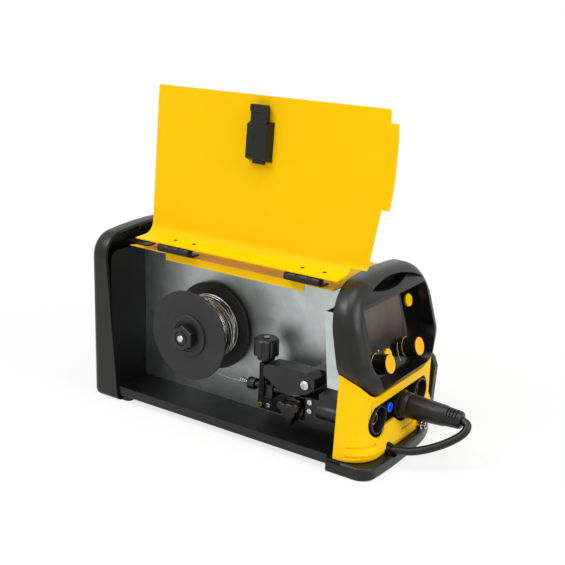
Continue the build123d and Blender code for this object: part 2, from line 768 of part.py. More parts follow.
# Control bracket: galvanised channel behind the frame that carries it
bracket_near = -panel_half_width + panel_wall + 2.7
bracket_far = panel_far_y - panel_wall - 0.4
bracket_low = (123.9, 86.0)    # X, Z of the rear face at its lower and upper end
bracket_high = (117.2, 164.0)
with BuildPart() as control_bracket:
    front_low_x = crossing_x(frame_back, bracket_low[1]) - 0.5
    front_high_x = crossing_x(frame_back, bracket_high[1]) - 0.5
    with BuildSketch(Plane.XZ.offset(-bracket_far)):
        with BuildLine():
            Polyline(
                bracket_low, (front_low_x, bracket_low[1]), (front_high_x, bracket_high[1]),
                bracket_high, bracket_low,
            )
        make_face()
    extrude(amount=bracket_far - bracket_near)
    with BuildSketch(Plane.XZ.offset(-bracket_far + sheet)):
        with BuildLine():
            Polyline(
                (bracket_low[0] + sheet, bracket_low[1]), (front_low_x + 5, bracket_low[1]),
                (front_high_x + 5, bracket_high[1]), (bracket_high[0] + sheet, bracket_high[1]),
                (bracket_low[0] + sheet, bracket_low[1]),
            )
        make_face()
    extrude(amount=bracket_far - bracket_near - 2 * sheet, mode=Mode.SUBTRACT)
write(control_bracket.part, "control_bracket")


# Lower panel: yellow moulding with a ledge, lofted through plan outlines
def plan_outline(z, front_x, inset):
    """Plan view of the lower panel at a height, drawn inside the outer wall by an inset."""
    with BuildSketch(Plane.XY.offset(z)) as plan:
        near = -panel_half_width + inset
        far = panel_far_y - inset
        with Locations(((front_x - inset + chassis_front_x) / 2, (near + far) / 2)):
            Rectangle(front_x - inset - chassis_front_x, far - near)
        fillet(plan.vertices().group_by(Axis.X)[-1].sort_by(Axis.Y)[0], panel_corner - inset)
        fillet(plan.vertices().group_by(Axis.X)[-1].sort_by(Axis.Y)[-1], panel_far_corner - inset)
    return plan.sketch.face()


panel_tilt = Vector(1, 0, -panel_rear_slope)
panel_back = Plane(origin=(panel_rear_x, 0, panel_bottom_z), x_dir=(0, 1, 0), z_dir=panel_tilt)
lobe_radius = socket_radius + opening_gap
groove_depth = 1.6
with BuildPart() as panel_hollow:
    loft([plan_outline(z, front_x, panel_wall) for z, front_x in panel_sections], ruled=True)

groove_height = 2.2
near_run = (-half_width - 20, -half_width + 30)
far_run = (-6.0, 24.0)
groove_runs = ((20.5, *near_run), (29.5, *near_run), (20.5, *far_run), (27.0, *far_run))
with BuildPart() as grooves:
    for z, low_y, high_y in groove_runs:
        with Locations((150, (low_y + high_y) / 2, z)):
            Box(40, high_y - low_y, groove_height, align=(Align.MIN, Align.CENTER, Align.CENTER))
    loft(
        [plan_outline(z, front_x, groove_depth) for z, front_x in panel_sections],
        ruled=True, mode=Mode.SUBTRACT,
    )

with BuildPart() as frame_room:
    with BuildSketch(across(sketch_rear_x)) as room_view:
        with BuildLine():
            frame_outline()
        make_face()
        round_frame(room_view)
        offset(amount=cover_gap, mode=Mode.REPLACE)
    extrude(amount=sketch_front_x - sketch_rear_x)

with BuildPart() as lower_panel:
    loft([plan_outline(z, front_x, 0) for z, front_x in panel_sections], ruled=True)
    add(panel_hollow.part, mode=Mode.SUBTRACT)
    split(bisect_by=panel_back, keep=Keep.TOP)
    add(frame_room.part, mode=Mode.SUBTRACT)
    with BuildSketch(across(socket_x - 14)):
        with Locations(*[(y, socket_z) for y in socket_places]):
            Circle(lobe_radius)
        with Locations(((socket_places[0] + socket_places[2]) / 2, opening_low_z)):
            Rectangle(
                socket_places[2] - socket_places[0], opening_high_z - opening_low_z,
                align=(Align.CENTER, Align.MIN),
            )
        with Locations((0, opening_high_z)):
            Rectangle(2 * half_width, half_width, align=(Align.CENTER, Align.MAX), mode=Mode.INTERSECT)
    extrude(amount=40, mode=Mode.SUBTRACT)
    add(grooves.part, mode=Mode.SUBTRACT)
    with BuildSketch(across(chassis_front_x)):
        with Locations((cable_exit_y, cable_exit_z)):
            Circle(grommet_radius + cover_gap)
        with Locations((remote_socket_y, remote_socket_z)):
            Circle(remote_radius - 0.5)
    extrude(amount=80, mode=Mode.SUBTRACT)
write(lower_panel.part, "lower_panel")


# Front bumper: black moulded base with the cheek on the far side
with BuildPart() as front_bumper:
    with BuildSketch(Plane.XY) as bumper_plan:
        far_start, far_end = bumper_far_curve
        with BuildLine():
            bow = ThreePointArc((bumper_corner_x, -bumper_half_width), (bumper_front_x, -12), far_start)
            sweep_back = TangentArc(far_start, far_end, tangent=bow % 1)
            run_out = sweep_back % 1
            far_corner_x = far_end[0] + (bumper_half_width - far_end[1]) * run_out.X / run_out.Y
            Polyline(
                far_end, (far_corner_x, bumper_half_width), (bumper_rear_x, bumper_half_width),
                (bumper_rear_x, -bumper_half_width), (bumper_corner_x, -bumper_half_width),
            )
        make_face()
        fillet(bumper_plan.vertices().group_by(Axis.Y)[0].sort_by(Axis.X)[-1], bumper_corner)
        fillet(bumper_plan.vertices().group_by(Axis.Y)[-1].sort_by(Axis.X)[-1], 6)
    extrude(amount=bumper_top_z)
    fillet(front_bumper.faces().sort_by(Axis.Z)[-1].edges().filter_by(
        lambda edge: edge.center().X > bumper_rear_x + 1), bumper_edge_radius)
    fillet(front_bumper.faces().sort_by(Axis.Z)[0].edges().filter_by(
        lambda edge: edge.center().X > bumper_rear_x + 1), bumper_edge_radius)
    with Locations((bumper_rear_x, 0, 0)):
        Box(
            bumper_rear_x - bumper_tongue_x, 2 * (lip_y - 25), floor_bottom - 0.2,
            align=(Align.MAX, Align.CENTER, Align.MIN),
        )
    with BuildSketch(Plane.XZ.offset(-panel_far_y - cover_gap)):
        with BuildLine():
            cheek_back_x = panel_rear_x + 0.6
            Polyline(
                (cheek_back_x, bumper_top_z - 4), (cheek_front_x - 6, bumper_top_z - 4),
                (cheek_front_x - 2, bumper_top_z + 8), (cheek_front_x, cheek_top_z - 10),
                (cheek_front_x - 4, cheek_top_z), (cheek_back_x + 10, cheek_top_z + 14),
                (cheek_back_x + 4, seam_z - 7), (cheek_back_x, bumper_top_z - 4),
            )
        make_face()
    extrude(amount=-(bumper_half_width - 1 - panel_far_y - cover_gap))
    with Locations((bumper_rear_x, -door_half_width + sheet + 0.5, door_bottom_z - 1)):
        Box(
            tab_root_x + 1 - bumper_rear_x, 20, 20,
            align=(Align.MIN, Align.MAX, Align.MIN), mode=Mode.SUBTRACT,
        )
    with BuildSketch(across(bumper_rear_x + 30)):
        with Locations((cable_exit_y, cable_exit_z)):
            Circle(grommet_radius + cover_gap)
        with Locations((remote_socket_y, remote_socket_z)):
            Circle(remote_radius + 1.5 + cover_gap)
    extrude(amount=40, mode=Mode.SUBTRACT)
write(front_bumper.part, "front_bumper")


# Socket plate with the torch socket, two cable sockets and their contacts
plate_plane = socket_plane.offset(-socket_depth)
gas_place = (gas_fitting_y, gas_fitting_z - socket_z)
with BuildPart() as socket_plate:
    plate_low = (bumper_top_z + 0.6 - plate_plane.origin.Z) / plate_plane.y_dir.Z
    plate_high = frame_bottom_z - socket_z - 4
    with BuildSketch(plate_plane):
        with Locations((0, (plate_low + plate_high) / 2)):
            Rectangle(socket_places[2] - socket_places[0] + 2 * lobe_radius + 12, plate_high - plate_low)
        with Locations(*[(y, 0) for y in socket_places]):
            Circle(contact_radius, mode=Mode.SUBTRACT)
        with Locations(gas_place):
            Circle(gas_fitting_radius - 1, mode=Mode.SUBTRACT)
    extrude(amount=-socket_plate_thickness)
write(socket_plate.part, "socket_plate")

with BuildPart() as front_sockets:
    with BuildSketch(plate_plane):
        with Locations(*[(y, 0) for y in socket_places]):
            Circle(socket_radius)
    extrude(amount=socket_depth)
    with BuildSketch(socket_plane):
        with Locations(*[(y, 0) for y in socket_places]):
            Circle(socket_bore)
    extrude(amount=-socket_depth + 3, mode=Mode.SUBTRACT)
    with BuildSketch(plate_plane):
        with Locations(*[(y, 0) for y in socket_places]):
            Circle(contact_radius)
    extrude(amount=5, mode=Mode.SUBTRACT)
write(front_sockets.part, "front_sockets")

with BuildPart() as socket_contacts:
    with BuildSketch(plate_plane.offset(-socket_plate_thickness - 8)):
        with Locations(*[(y, 0) for y in socket_places]):
            Circle(contact_radius)
            Circle(contact_bore, mode=Mode.SUBTRACT)
    extrude(amount=socket_plate_thickness + 8 + socket_depth - contact_recess)
write(socket_contacts.part, "socket_contacts")

with BuildPart() as gas_fitting:
    with BuildSketch(plate_plane):
        with Locations(gas_place):
            Circle(gas_fitting_radius)
    extrude(amount=socket_depth - 1.5)
    fillet(gas_fitting.faces().sort_by(Axis.X)[-1].edges(), 1)
    with BuildSketch(plate_plane):
        with Locations(gas_place):
            Circle(gas_fitting_radius - 1)
    extrude(amount=-10)
    with BuildSketch(plate_plane.offset(-10)):
        with Locations(gas_place):
            Circle(2)
    extrude(amount=40, mode=Mode.SUBTRACT)
write(gas_fitting.part, "gas_fitting")

ledge_front_x = panel_sections[0][1]
with BuildPart() as remote_socket:
    with BuildSketch(across(ledge_front_x + 1.5)):
        with Locations((remote_socket_y, remote_socket_z)):
            RegularPolygon(remote_radius + 1.5, 6)
    extrude(amount=remote_nut)
    with BuildSketch(across(ledge_front_x + 1.5)):
        with Locations((remote_socket_y, remote_socket_z)):
            Circle(remote_radius)
    extrude(amount=remote_reach - 1.5)
    with BuildSketch(across(ledge_front_x + 6)):
        with Locations((remote_socket_y, remote_socket_z)):
            Circle(remote_radius - 1)
    extrude(amount=remote_reach, mode=Mode.SUBTRACT)
write(remote_socket.part, "remote_socket")


# Polarity plug in the middle socket, with the cable that comes back from the ledge
with BuildPart() as polarity_plug:
    with BuildSketch(plug_plane.offset(0.8)):
        Circle(plug_collar_radius)
    extrude(amount=8)
    with BuildSketch(plug_plane.offset(8.8)):
        Circle(plug_radius)
    with BuildSketch(plug_plane.offset(plug_end - 18)):
        Circle(plug_neck_radius)
    loft()
    with BuildSketch(plug_plane.offset(plug_end - 18)):
        Circle(plug_tail_radius)
    extrude(amount=18)
    rib_pitch = 3.9
    for index in range(4):
        with BuildSketch(plug_plane.offset(plug_end - 16.5 + index * rib_pitch)):
            Circle(plug_neck_radius - 0.6 - index * 0.35)
        extrude(amount=2.2)
    with BuildSketch(plug_plane.offset(plug_end)):
        Circle(cable_radius + cable_bore_gap)
    extrude(amount=-boot_depth, mode=Mode.SUBTRACT)
    with BuildSketch(plug_plane):
        Circle(plug_pin_radius)
    extrude(amount=20, mode=Mode.SUBTRACT)
write(polarity_plug.part, "polarity_plug")

with BuildPart() as plug_pin:
    with BuildSketch(plug_plane.offset(20)):
        Circle(plug_pin_radius)
    extrude(amount=-20 - socket_depth + 1)
write(plug_pin.part, "plug_pin")

boot_floor = plug_plane.offset(plug_end - boot_depth).origin
cable_turn = plug_plane.offset(plug_end + 6).origin
cable_exit = (ledge_front_x, cable_exit_y, cable_exit_z)
cable_route = [
    cable_exit, (191, -33.5, 18), (207.5, -27, 22.5), (222, -18, 28.5), (234, -9, 36),
    (241, -1, 43), (cable_turn.X, cable_turn.Y, cable_turn.Z), (boot_floor.X, boot_floor.Y, boot_floor.Z),
]


def bend_radii(points):
    """Largest even radius for each bend of a route: 0.45 of the shorter run over tan of half the turn."""
    radii = []
    for before, point, after in zip(points, points[1:], points[2:]):
        run_in = Vector(*point) - Vector(*before)
        run_out = Vector(*after) - Vector(*point)
        turn = radians(run_in.get_angle(run_out))
        radii.append(0.45 * min(run_in.length, run_out.length) / tan(turn / 2))
    return radii


cable_radii = bend_radii(cable_route)
print("cable bend radii", [round(radius, 1) for radius in cable_radii])
with BuildPart() as polarity_cable:
    with BuildLine() as cable_line:
        FilletPolyline(*cable_route, radius=cable_radii)
    cable_path = cable_line.wires()[0]
    with BuildSketch(Plane(origin=cable_path @ 0, z_dir=cable_path % 0)):
        Circle(cable_radius)
    sweep(path=cable_path)
cable_section = 3.14159 * cable_radius ** 2
print("cable length", round(cable_path.length, 1),
      "volume ratio", round(polarity_cable.part.volume / (cable_section * cable_path.length), 4))
write(polarity_cable.part, "polarity_cable")

with BuildPart() as cable_grommet:
    grommet_plane = Plane(origin=cable_exit, x_dir=(0, 1, 0), z_dir=(1, 0, 0))
    with BuildSketch(grommet_plane):
        Circle(grommet_radius)
    extrude(amount=4.5)
    with BuildSketch(Plane(origin=cable_exit, z_dir=cable_path % 0).offset(-4)):
        Circle(cable_radius + cable_bore_gap)
    extrude(amount=10, mode=Mode.SUBTRACT)
write(cable_grommet.part, "cable_grommet")


# Spool spindle on the partition, with its bolt and hub nut
spool_far = spool_wall_gap
spool_near = spool_wall_gap + spool_width
axle_end = spool_near + 3
with BuildPart() as spool_spindle:
    with BuildSketch(reach(0)):
        with Locations((spool_x, spool_z)):
            Circle(20)
    extrude(amount=spool_far - spool_side_gap)
    with BuildSketch(reach(0)):
        with Locations((spool_x, spool_z)):
            Circle(spool_bore_radius - running_gap)
    extrude(amount=axle_end)
    with BuildSketch(reach(0)):
        with Locations((spool_x, spool_z)):
            Circle(hub_bolt_radius + 0.05)
    extrude(amount=axle_end, mode=Mode.SUBTRACT)
write(spool_spindle.part, "spool_spindle")

nut_start = axle_end + spool_side_gap
nut_length = 8.0
with BuildPart() as spindle_bolt:
    with BuildSketch(reach(-sheet)):
        with Locations((spool_x, spool_z)):
            Circle(hub_bolt_radius)
    extrude(amount=nut_start + nut_length + 2 + sheet)
    with BuildSketch(reach(-sheet - 4)):
        with Locations((spool_x, spool_z)):
            RegularPolygon(6, 6)
    extrude(amount=4)
write(spindle_bolt.part, "spindle_bolt")

with BuildPart() as hub_nut:
    with BuildSketch(reach(nut_start)):
        with Locations((spool_x, spool_z)):
            Circle(13)
    extrude(amount=2)
    with BuildSketch(reach(nut_start + 2)):
        with Locations((spool_x, spool_z)):
            RegularPolygon(11, 6)
    extrude(amount=nut_length - 2, taper=4)
    with BuildSketch(reach(nut_start)):
        with Locations((spool_x, spool_z)):
            Circle(hub_bolt_radius + running_gap)
    extrude(amount=nut_length, mode=Mode.SUBTRACT)
write(hub_nut.part, "hub_nut")


# Wire spool with its winding: a plain core of inner layers under one outer layer of turns
with BuildPart() as wire_spool:
    with BuildSketch(reach(spool_far)):
        with Locations((spool_x, spool_z)):
            Circle(spool_radius)
    extrude(amount=spool_flange)
    with BuildSketch(reach(spool_far)):
        with Locations((spool_x, spool_z)):
            Circle(spool_barrel_radius)
    extrude(amount=spool_width)
    with BuildSketch(reach(spool_near - spool_flange)):
        with Locations((spool_x, spool_z)):
            Circle(spool_radius)
    extrude(amount=spool_flange)
    fillet(wire_spool.edges().filter_by(GeomType.CIRCLE).filter_by(
        lambda edge: edge.radius > spool_radius - 0.1), 0.8)
    with BuildSketch(reach(spool_near)):
        with Locations((spool_x, spool_z)):
            Circle(17.5)
            Circle(15, mode=Mode.SUBTRACT)
    extrude(amount=1.6)
    with BuildSketch(reach(spool_far)):
        with Locations((spool_x, spool_z)):
            Circle(spool_bore_radius)
    extrude(amount=spool_width, mode=Mode.SUBTRACT)
write(wire_spool.part, "wire_spool")

winding_start = spool_far + spool_flange + winding_margin
winding_end = spool_near - spool_flange - winding_margin
winding_pitch = (winding_end - winding_start) / winding_turns
core_radius = winding_radius - winding_wire_radius - 0.05


def winding_point(half_turns, radius):
    """Point of the outer layer after a count of half turns, out of the partition along the spool."""
    angle = -180 * half_turns + 90
    out = winding_start + half_turns * winding_pitch / 2
    return Vector(
        spool_x + radius * cos(radians(angle)), partition_y - out, spool_z + radius * sin(radians(angle))
    )


with BuildPart() as wire_winding:
    with BuildLine() as winding_line:
        half_chord = (winding_radius ** 2 + (winding_pitch / 4) ** 2) ** 0.5
        for half in range(2 * winding_turns):
            ThreePointArc(
                winding_point(half, winding_radius), winding_point(half + 0.5, half_chord),
                winding_point(half + 1, winding_radius),
            )
    winding_path = winding_line.wires()[0]
    with BuildSketch(Plane(origin=winding_path @ 0, z_dir=winding_path % 0)):
        RegularPolygon(winding_wire_radius, 6)
    sweep(path=winding_path)
    with BuildSketch(reach(spool_far + spool_flange + 0.05)):
        with Locations((spool_x, spool_z)):
            Circle(core_radius - winding_wire_radius * 0.1)
            Circle(spool_barrel_radius + 0.05, mode=Mode.SUBTRACT)
    extrude(amount=spool_width - 2 * spool_flange - 0.1, mode=Mode.ADD)
turn_gap = winding_pitch - 2 * winding_wire_radius
print("winding turns", winding_turns, "least gap between turns", round(turn_gap, 2))
write(wire_winding.part, "wire_winding")


# Wire feeder: moulded base on the partition with guides, screws and the outlet adaptor
arm_start = feeder_depth + 0.9
arm_end = arm_start + arm_width
yoke_leg = 2.8
guide_half = 4.5
with BuildPart() as feeder_base:
    with BuildSketch(reach(0)) as feeder_view:
        with BuildLine():
            Polyline(
                (feeder_rear_x, feeder_low_z), (feeder_front_x, feeder_low_z), (feeder_front_x, pivot_z + 12),
                (pivot_x - 4, pivot_z + 12), (pivot_x - 30, feeder_high_z + 6), (pivot_x - 40, feeder_high_z),
                (feeder_rear_x, feeder_high_z - 6), (feeder_rear_x, feeder_low_z),
            )
        make_face()
        fillet(feeder_view.vertices().group_by(Axis.Y)[0], 4)
        with Locations((drive_x, drive_z)):
            Circle(shaft_radius + running_gap, mode=Mode.SUBTRACT)
        with Locations((pivot_x, pivot_z)):
            Circle(pivot_radius + 0.02, mode=Mode.SUBTRACT)
    extrude(amount=feeder_depth)
    with BuildSketch(reach(feeder_depth - 4)):
        with Locations((tension_x + 3, wire_z - 2.5)):
            Rectangle(18, 14)
    extrude(amount=wire_reach + guide_half - feeder_depth + 4)
    with BuildSketch(reach(feeder_depth)):
        with Locations((tension_x - 1.5, tension_pivot_z + 4)):
            Rectangle(13, 30)
    extrude(amount=wire_reach - guide_half - feeder_depth, mode=Mode.SUBTRACT)
    with BuildSketch(Plane(origin=(0, wire_y, wire_z), x_dir=(0, 1, 0), z_dir=(1, 0, 0))):
        Circle(3.1)
    extrude(amount=60, mode=Mode.SUBTRACT)
    with BuildSketch(reach(0)):
        with Locations((tension_x, tension_pivot_z)):
            Circle(1.5 + running_gap)
    extrude(amount=60, mode=Mode.SUBTRACT)
write(feeder_base.part, "feeder_base")

wire_plane = Plane(origin=(0, wire_y, wire_z), x_dir=(0, 1, 0), z_dir=(1, 0, 0))
guide_start_x = tension_x - 11.5
guide_tip_x = drive_x - drive_radius - 2
with BuildPart() as inlet_guide:
    with BuildSketch(wire_plane.offset(guide_start_x - 9)):
        Circle(6.5)
    extrude(amount=8.8)
    with BuildSketch(wire_plane.offset(guide_start_x - 0.5)):
        Circle(3)
    extrude(amount=25)
    with BuildSketch(wire_plane.offset(guide_start_x + 24.5)):
        Circle(3)
    with BuildSketch(wire_plane.offset(guide_tip_x)):
        Circle(1.7)
    loft()
    with BuildSketch(wire_plane.offset(guide_start_x - 10)):
        Circle(1)
    extrude(amount=100, mode=Mode.SUBTRACT)
write(inlet_guide.part, "inlet_guide")

adaptor_x = pivot_x + 2
adaptor_low = 24.0
adaptor_mid = pivot_z - 12
with BuildPart() as outlet_adaptor:
    with BuildSketch(reach(feeder_depth + 0.2)):
        with BuildLine():
            Polyline(
                (adaptor_x, adaptor_low + 2), (adaptor_x + 40, adaptor_low), (adaptor_x + 48, adaptor_low + 8),
                (adaptor_x + 48, 66), (adaptor_x + 16, 66), (adaptor_x + 16, adaptor_mid),
                (adaptor_x, adaptor_mid), (adaptor_x, adaptor_low + 2),
            )
        make_face()
    extrude(amount=22)
    with BuildSketch(wire_plane.offset(adaptor_x + 47)):
        Circle(12)
    extrude(amount=crossing_x(plate_plane, wire_z) - socket_plate_thickness - 9.5 - adaptor_x - 47)
    with BuildSketch(wire_plane.offset(adaptor_x - 1)):
        Circle(1.2)
    extrude(amount=100, mode=Mode.SUBTRACT)
    with BuildSketch(wire_plane.offset(adaptor_x + 47)):
        Circle(contact_radius + 0.5)
    extrude(amount=60, mode=Mode.SUBTRACT)
write(outlet_adaptor.part, "outlet_adaptor")

with BuildPart() as feeder_screws:
    with BuildSketch(reach(feeder_depth)):
        with Locations((feeder_rear_x + 4.5, feeder_low_z + 5)):
            Circle(2.6)
    extrude(amount=1.8)
    with BuildSketch(reach(feeder_depth)):
        with Locations((feeder_rear_x + 15, feeder_low_z + 6)):
            Circle(2.6)
    extrude(amount=1.8)
    with BuildSketch(reach(feeder_depth + 22.2)):
        with Locations((adaptor_x + 6, adaptor_mid - 4), (adaptor_x + 6, adaptor_mid - 14)):
            Circle(2.6)
    extrude(amount=1.8)
write(feeder_screws.part, "feeder_screws")

with BuildPart() as welding_wire:
    with BuildLine() as wire_line:
        wire_gap = winding_radius + winding_wire_radius + wire_radius + 0.4
        wire_start = (spool_x - 2, wire_y, spool_z - wire_gap)
        wire_bend = (guide_start_x - 12, wire_y, wire_z)
        leaving = TangentArc(wire_bend, wire_start, tangent=(-1, 0, -0.16))
        Line(wire_bend, (adaptor_x + 30, wire_y, wire_z))
    wire_path = wire_line.wires()[0]
    with BuildSketch(Plane(origin=wire_path @ 0, z_dir=wire_path % 0)):
        RegularPolygon(wire_radius, 6)
    sweep(path=wire_path)
write(welding_wire.part, "welding_wire")


# Drive roll on the motor shaft, held by a three-lobed knob
roll_start = wire_reach - roll_width / 2
with BuildPart() as drive_shaft:
    with BuildSketch(reach(-sheet)):
        with Locations((drive_x, drive_z)):
            Circle(shaft_radius)
    extrude(amount=roll_start + roll_width + 8 + sheet)
write(drive_shaft.part, "drive_shaft")

with BuildPart() as drive_roll:
    with BuildSketch(reach(roll_start)):
        with Locations((drive_x, drive_z)):
            Circle(drive_radius)
    extrude(amount=roll_width)
    chamfer(drive_roll.edges().filter_by(GeomType.CIRCLE), 0.6)
    with BuildSketch(reach(roll_start)):
        with Locations((drive_x, drive_z)):
            Circle(shaft_radius + running_gap)
    extrude(amount=roll_width, mode=Mode.SUBTRACT)
write(drive_roll.part, "drive_roll")

lobe_start = 34
knob_start = roll_start + roll_width + 1
with BuildPart() as roll_knob:
    with BuildSketch(reach(knob_start)) as knob_view:
        with Locations((drive_x, drive_z)):
            Circle(roll_knob_reach * 0.58)
            with PolarLocations(roll_knob_reach * 0.375, 3, start_angle=lobe_start):
                SlotOverall(roll_knob_reach * 1.25, roll_knob_reach * 0.55)
        fillet(knob_view.vertices().filter_by(
            lambda corner: (Vector(corner) - Vector(drive_x, drive_z)).length < roll_knob_reach * 0.7), 2)
    extrude(amount=9)
    chamfer(roll_knob.faces().sort_by(Axis.Y)[0].edges(), 0.8)
    with BuildSketch(reach(knob_start)):
        with Locations((drive_x, drive_z)):
            Circle(shaft_radius + running_gap)
    extrude(amount=7.5, mode=Mode.SUBTRACT)
write(roll_knob.part, "roll_knob")


# Pressure arm over the idler roll, turning on a pin at its front end
idler_room = 1.0
arm_rear_x = tension_x + 4.5
with BuildPart() as pressure_arm:
    with BuildSketch(reach(arm_start)) as arm_view:
        with BuildLine():
            Polyline(
                (arm_rear_x, pivot_z - 2), (arm_rear_x, pivot_z + 9), (arm_rear_x + 7, pivot_z + 12),
                (drive_x + 2, pivot_z + 14), (pivot_x + 2, pivot_z + 13), (pivot_x + 11, pivot_z + 8),
                (pivot_x + 11, pivot_z - 2), (pivot_x + 2, pivot_z - 10), (drive_x, pivot_z - 16),
                (drive_x - 12, pivot_z - 15), (arm_rear_x + 6, pivot_z - 5), (arm_rear_x, pivot_z - 2),
            )
        make_face()
        fillet(arm_view.vertices().filter_by_position(Axis.X, pivot_x, pivot_x + 12), 3)
        with Locations((pivot_x, pivot_z)):
            Circle(pivot_radius + running_gap, mode=Mode.SUBTRACT)
    extrude(amount=arm_width)
    with BuildSketch(reach(roll_start - idler_room)):
        with Locations((drive_x, idler_z)):
            Circle(idler_radius + 1.2)
        with Locations((drive_x, idler_z - 14)):
            Rectangle(2 * idler_radius + 2.4, 28)
    extrude(amount=roll_width + 2 * idler_room, mode=Mode.SUBTRACT)
    with BuildSketch(reach(arm_start + 1)):
        with Locations((drive_x, idler_z)):
            Circle(2.5)
    extrude(amount=arm_width - 2)
write(pressure_arm.part, "pressure_arm")

with BuildPart() as idler_roll:
    with BuildSketch(reach(roll_start)):
        with Locations((drive_x, idler_z)):
            Circle(idler_radius)
    extrude(amount=roll_width)
    chamfer(idler_roll.edges().filter_by(GeomType.CIRCLE), 0.6)
    with BuildSketch(reach(roll_start)):
        with Locations((drive_x, idler_z)):
            Circle(2.5 + running_gap)
    extrude(amount=roll_width, mode=Mode.SUBTRACT)
write(idler_roll.part, "idler_roll")

with BuildPart() as arm_pivot_pin:
    with BuildSketch(reach(0)):
        with Locations((pivot_x, pivot_z)):
            Circle(pivot_radius)
    extrude(amount=arm_end + 0.5)
    with BuildSketch(reach(arm_end + 0.5)):
        with Locations((pivot_x, pivot_z)):
            Circle(5.5)
    extrude(amount=2)
write(arm_pivot_pin.part, "arm_pivot_pin")


# Tension rod: yoke over the inlet block, with the knob that presses the arm down
with BuildPart() as tension_rod:
    with BuildSketch(reach(wire_reach - guide_half - 0.3 - yoke_leg)) as yoke_view:
        with Locations((tension_x, tension_pivot_z - 3.5)):
            Rectangle(6, yoke_top_z - tension_pivot_z + 3.5, align=(Align.CENTER, Align.MIN))
    extrude(amount=2 * (guide_half + 0.3 + yoke_leg))
    with BuildSketch(reach(wire_reach - guide_half - 0.3)):
        with Locations((tension_x, tension_pivot_z - 4)):
            Rectangle(20, yoke_top_z - 3.5 - tension_pivot_z + 4, align=(Align.CENTER, Align.MIN))
    extrude(amount=2 * (guide_half + 0.3), mode=Mode.SUBTRACT)
    with BuildSketch(Plane.XY.offset(yoke_top_z - 2)):
        with Locations((tension_x, wire_y)):
            Circle(tension_rod_radius)
    extrude(amount=tension_top_z - yoke_top_z + 2)
    with BuildSketch(reach(wire_reach - guide_half - 0.3 - yoke_leg)):
        with Locations((tension_x, tension_pivot_z)):
            Circle(1.5)
    extrude(amount=2 * (guide_half + 0.3 + yoke_leg))
write(tension_rod.part, "tension_rod")

with BuildPart() as tension_knob:
    with BuildSketch(Plane.XY.offset(tension_collar_z)):
        with Locations((tension_x, wire_y)):
            Circle(9.5)
    extrude(amount=tension_knob_z - tension_collar_z)
    with BuildSketch(Plane.XY.offset(tension_knob_z)):
        with Locations((tension_x, wire_y)):
            Circle(tension_knob_radius)
    extrude(amount=tension_top_z - tension_knob_z - 1)
    chamfer(tension_knob.faces().sort_by(Axis.Z)[-1].edges(), 2)
    with BuildSketch(Plane.XY.offset(tension_knob_z)):
        with Locations((tension_x, wire_y)):
            with PolarLocations(tension_knob_radius + 0.8, 10):
                Circle(1.8)
    extrude(amount=tension_top_z - tension_knob_z, mode=Mode.SUBTRACT)
    with BuildSketch(Plane.XY.offset(tension_collar_z)):
        with Locations((tension_x, wire_y)):
            Circle(tension_rod_radius + running_gap)
    extrude(amount=tension_top_z - tension_collar_z, mode=Mode.SUBTRACT)
write(tension_knob.part, "tension_knob")


# Feed motor and gearbox on the far face of the partition
with BuildPart() as feed_motor:
    with BuildSketch(reach(-sheet - 0.1)):
        with Locations((drive_x, drive_z)):
            Circle(21)
    extrude(amount=-24)
    with BuildSketch(reach(-sheet - 24)):
        with Locations((drive_x, drive_z)):
            Circle(18)
    extrude(amount=-56)
    fillet(feed_motor.faces().sort_by(Axis.Y)[-1].edges(), 3)
    with BuildSketch(reach(-sheet)):
        with Locations((drive_x, drive_z)):
            Circle(shaft_radius + running_gap)
    extrude(amount=-12, mode=Mode.SUBTRACT)
write(feed_motor.part, "feed_motor")


# Power side: board on posts, finned heat sink, transformer and the fan behind the rear wall
power_y = (partition_y + half_width) / 2
board_size = (160.0, 88.0)
board_x = -48.0
with BuildPart() as main_board:
    with BuildSketch(Plane.XY.offset(board_z)):
        with Locations((board_x, power_y)):
            Rectangle(*board_size)
    extrude(amount=board_thickness)
    with BuildSketch(Plane.XY.offset(floor_top)):
        with Locations((board_x, power_y)):
            with GridLocations(board_size[0] - 12, board_size[1] - 12, 2, 2):
                Circle(3)
    extrude(amount=board_z - floor_top)
write(main_board.part, "main_board")

board_top = board_z + board_thickness
sink_size = (92.0, 70.0, 66.0)
sink_x = board_x - 26
fin_count = 8
with BuildPart() as heat_sink:
    with Locations((sink_x, power_y, board_top)):
        Box(sink_size[0], sink_size[1], 8, align=(Align.CENTER, Align.CENTER, Align.MIN))
    with Locations((sink_x, power_y, board_top + 8)):
        with GridLocations(0, (sink_size[1] - 3) / (fin_count - 1), 1, fin_count):
            Box(sink_size[0], 3, sink_size[2], align=(Align.CENTER, Align.CENTER, Align.MIN))
write(heat_sink.part, "heat_sink")

with BuildPart() as transformer:
    with Locations((board_x + 50, power_y, board_top)):
        Box(42, 52, 46, align=(Align.CENTER, Align.CENTER, Align.MIN))
    fillet(transformer.edges().filter_by(Axis.Y), 3)
    with BuildSketch(Plane.XY.offset(board_top + 46)):
        with Locations((board_x + 50, power_y)):
            RectangleRounded(30, 58, 8)
    extrude(amount=-38)
write(transformer.part, "transformer")

fan_plane = across(rear_wall_x + 0.2)
with BuildPart() as fan_frame:
    with BuildSketch(fan_plane):
        with Locations((fan_y, fan_z)):
            RectangleRounded(fan_size, fan_size, 5)
            Circle(fan_size / 2 - 2, mode=Mode.SUBTRACT)
    extrude(amount=fan_depth)
    with BuildSketch(fan_plane):
        with Locations((fan_y, fan_z)):
            Circle(15)
            with PolarLocations(fan_size / 4 + 4, 3):
                Rectangle(fan_size / 2 - 10, 5)
    extrude(amount=4)
    with BuildSketch(fan_plane):
        with Locations((fan_y, fan_z)):
            Circle(2)
    extrude(amount=fan_depth - 2)
write(fan_frame.part, "fan_frame")

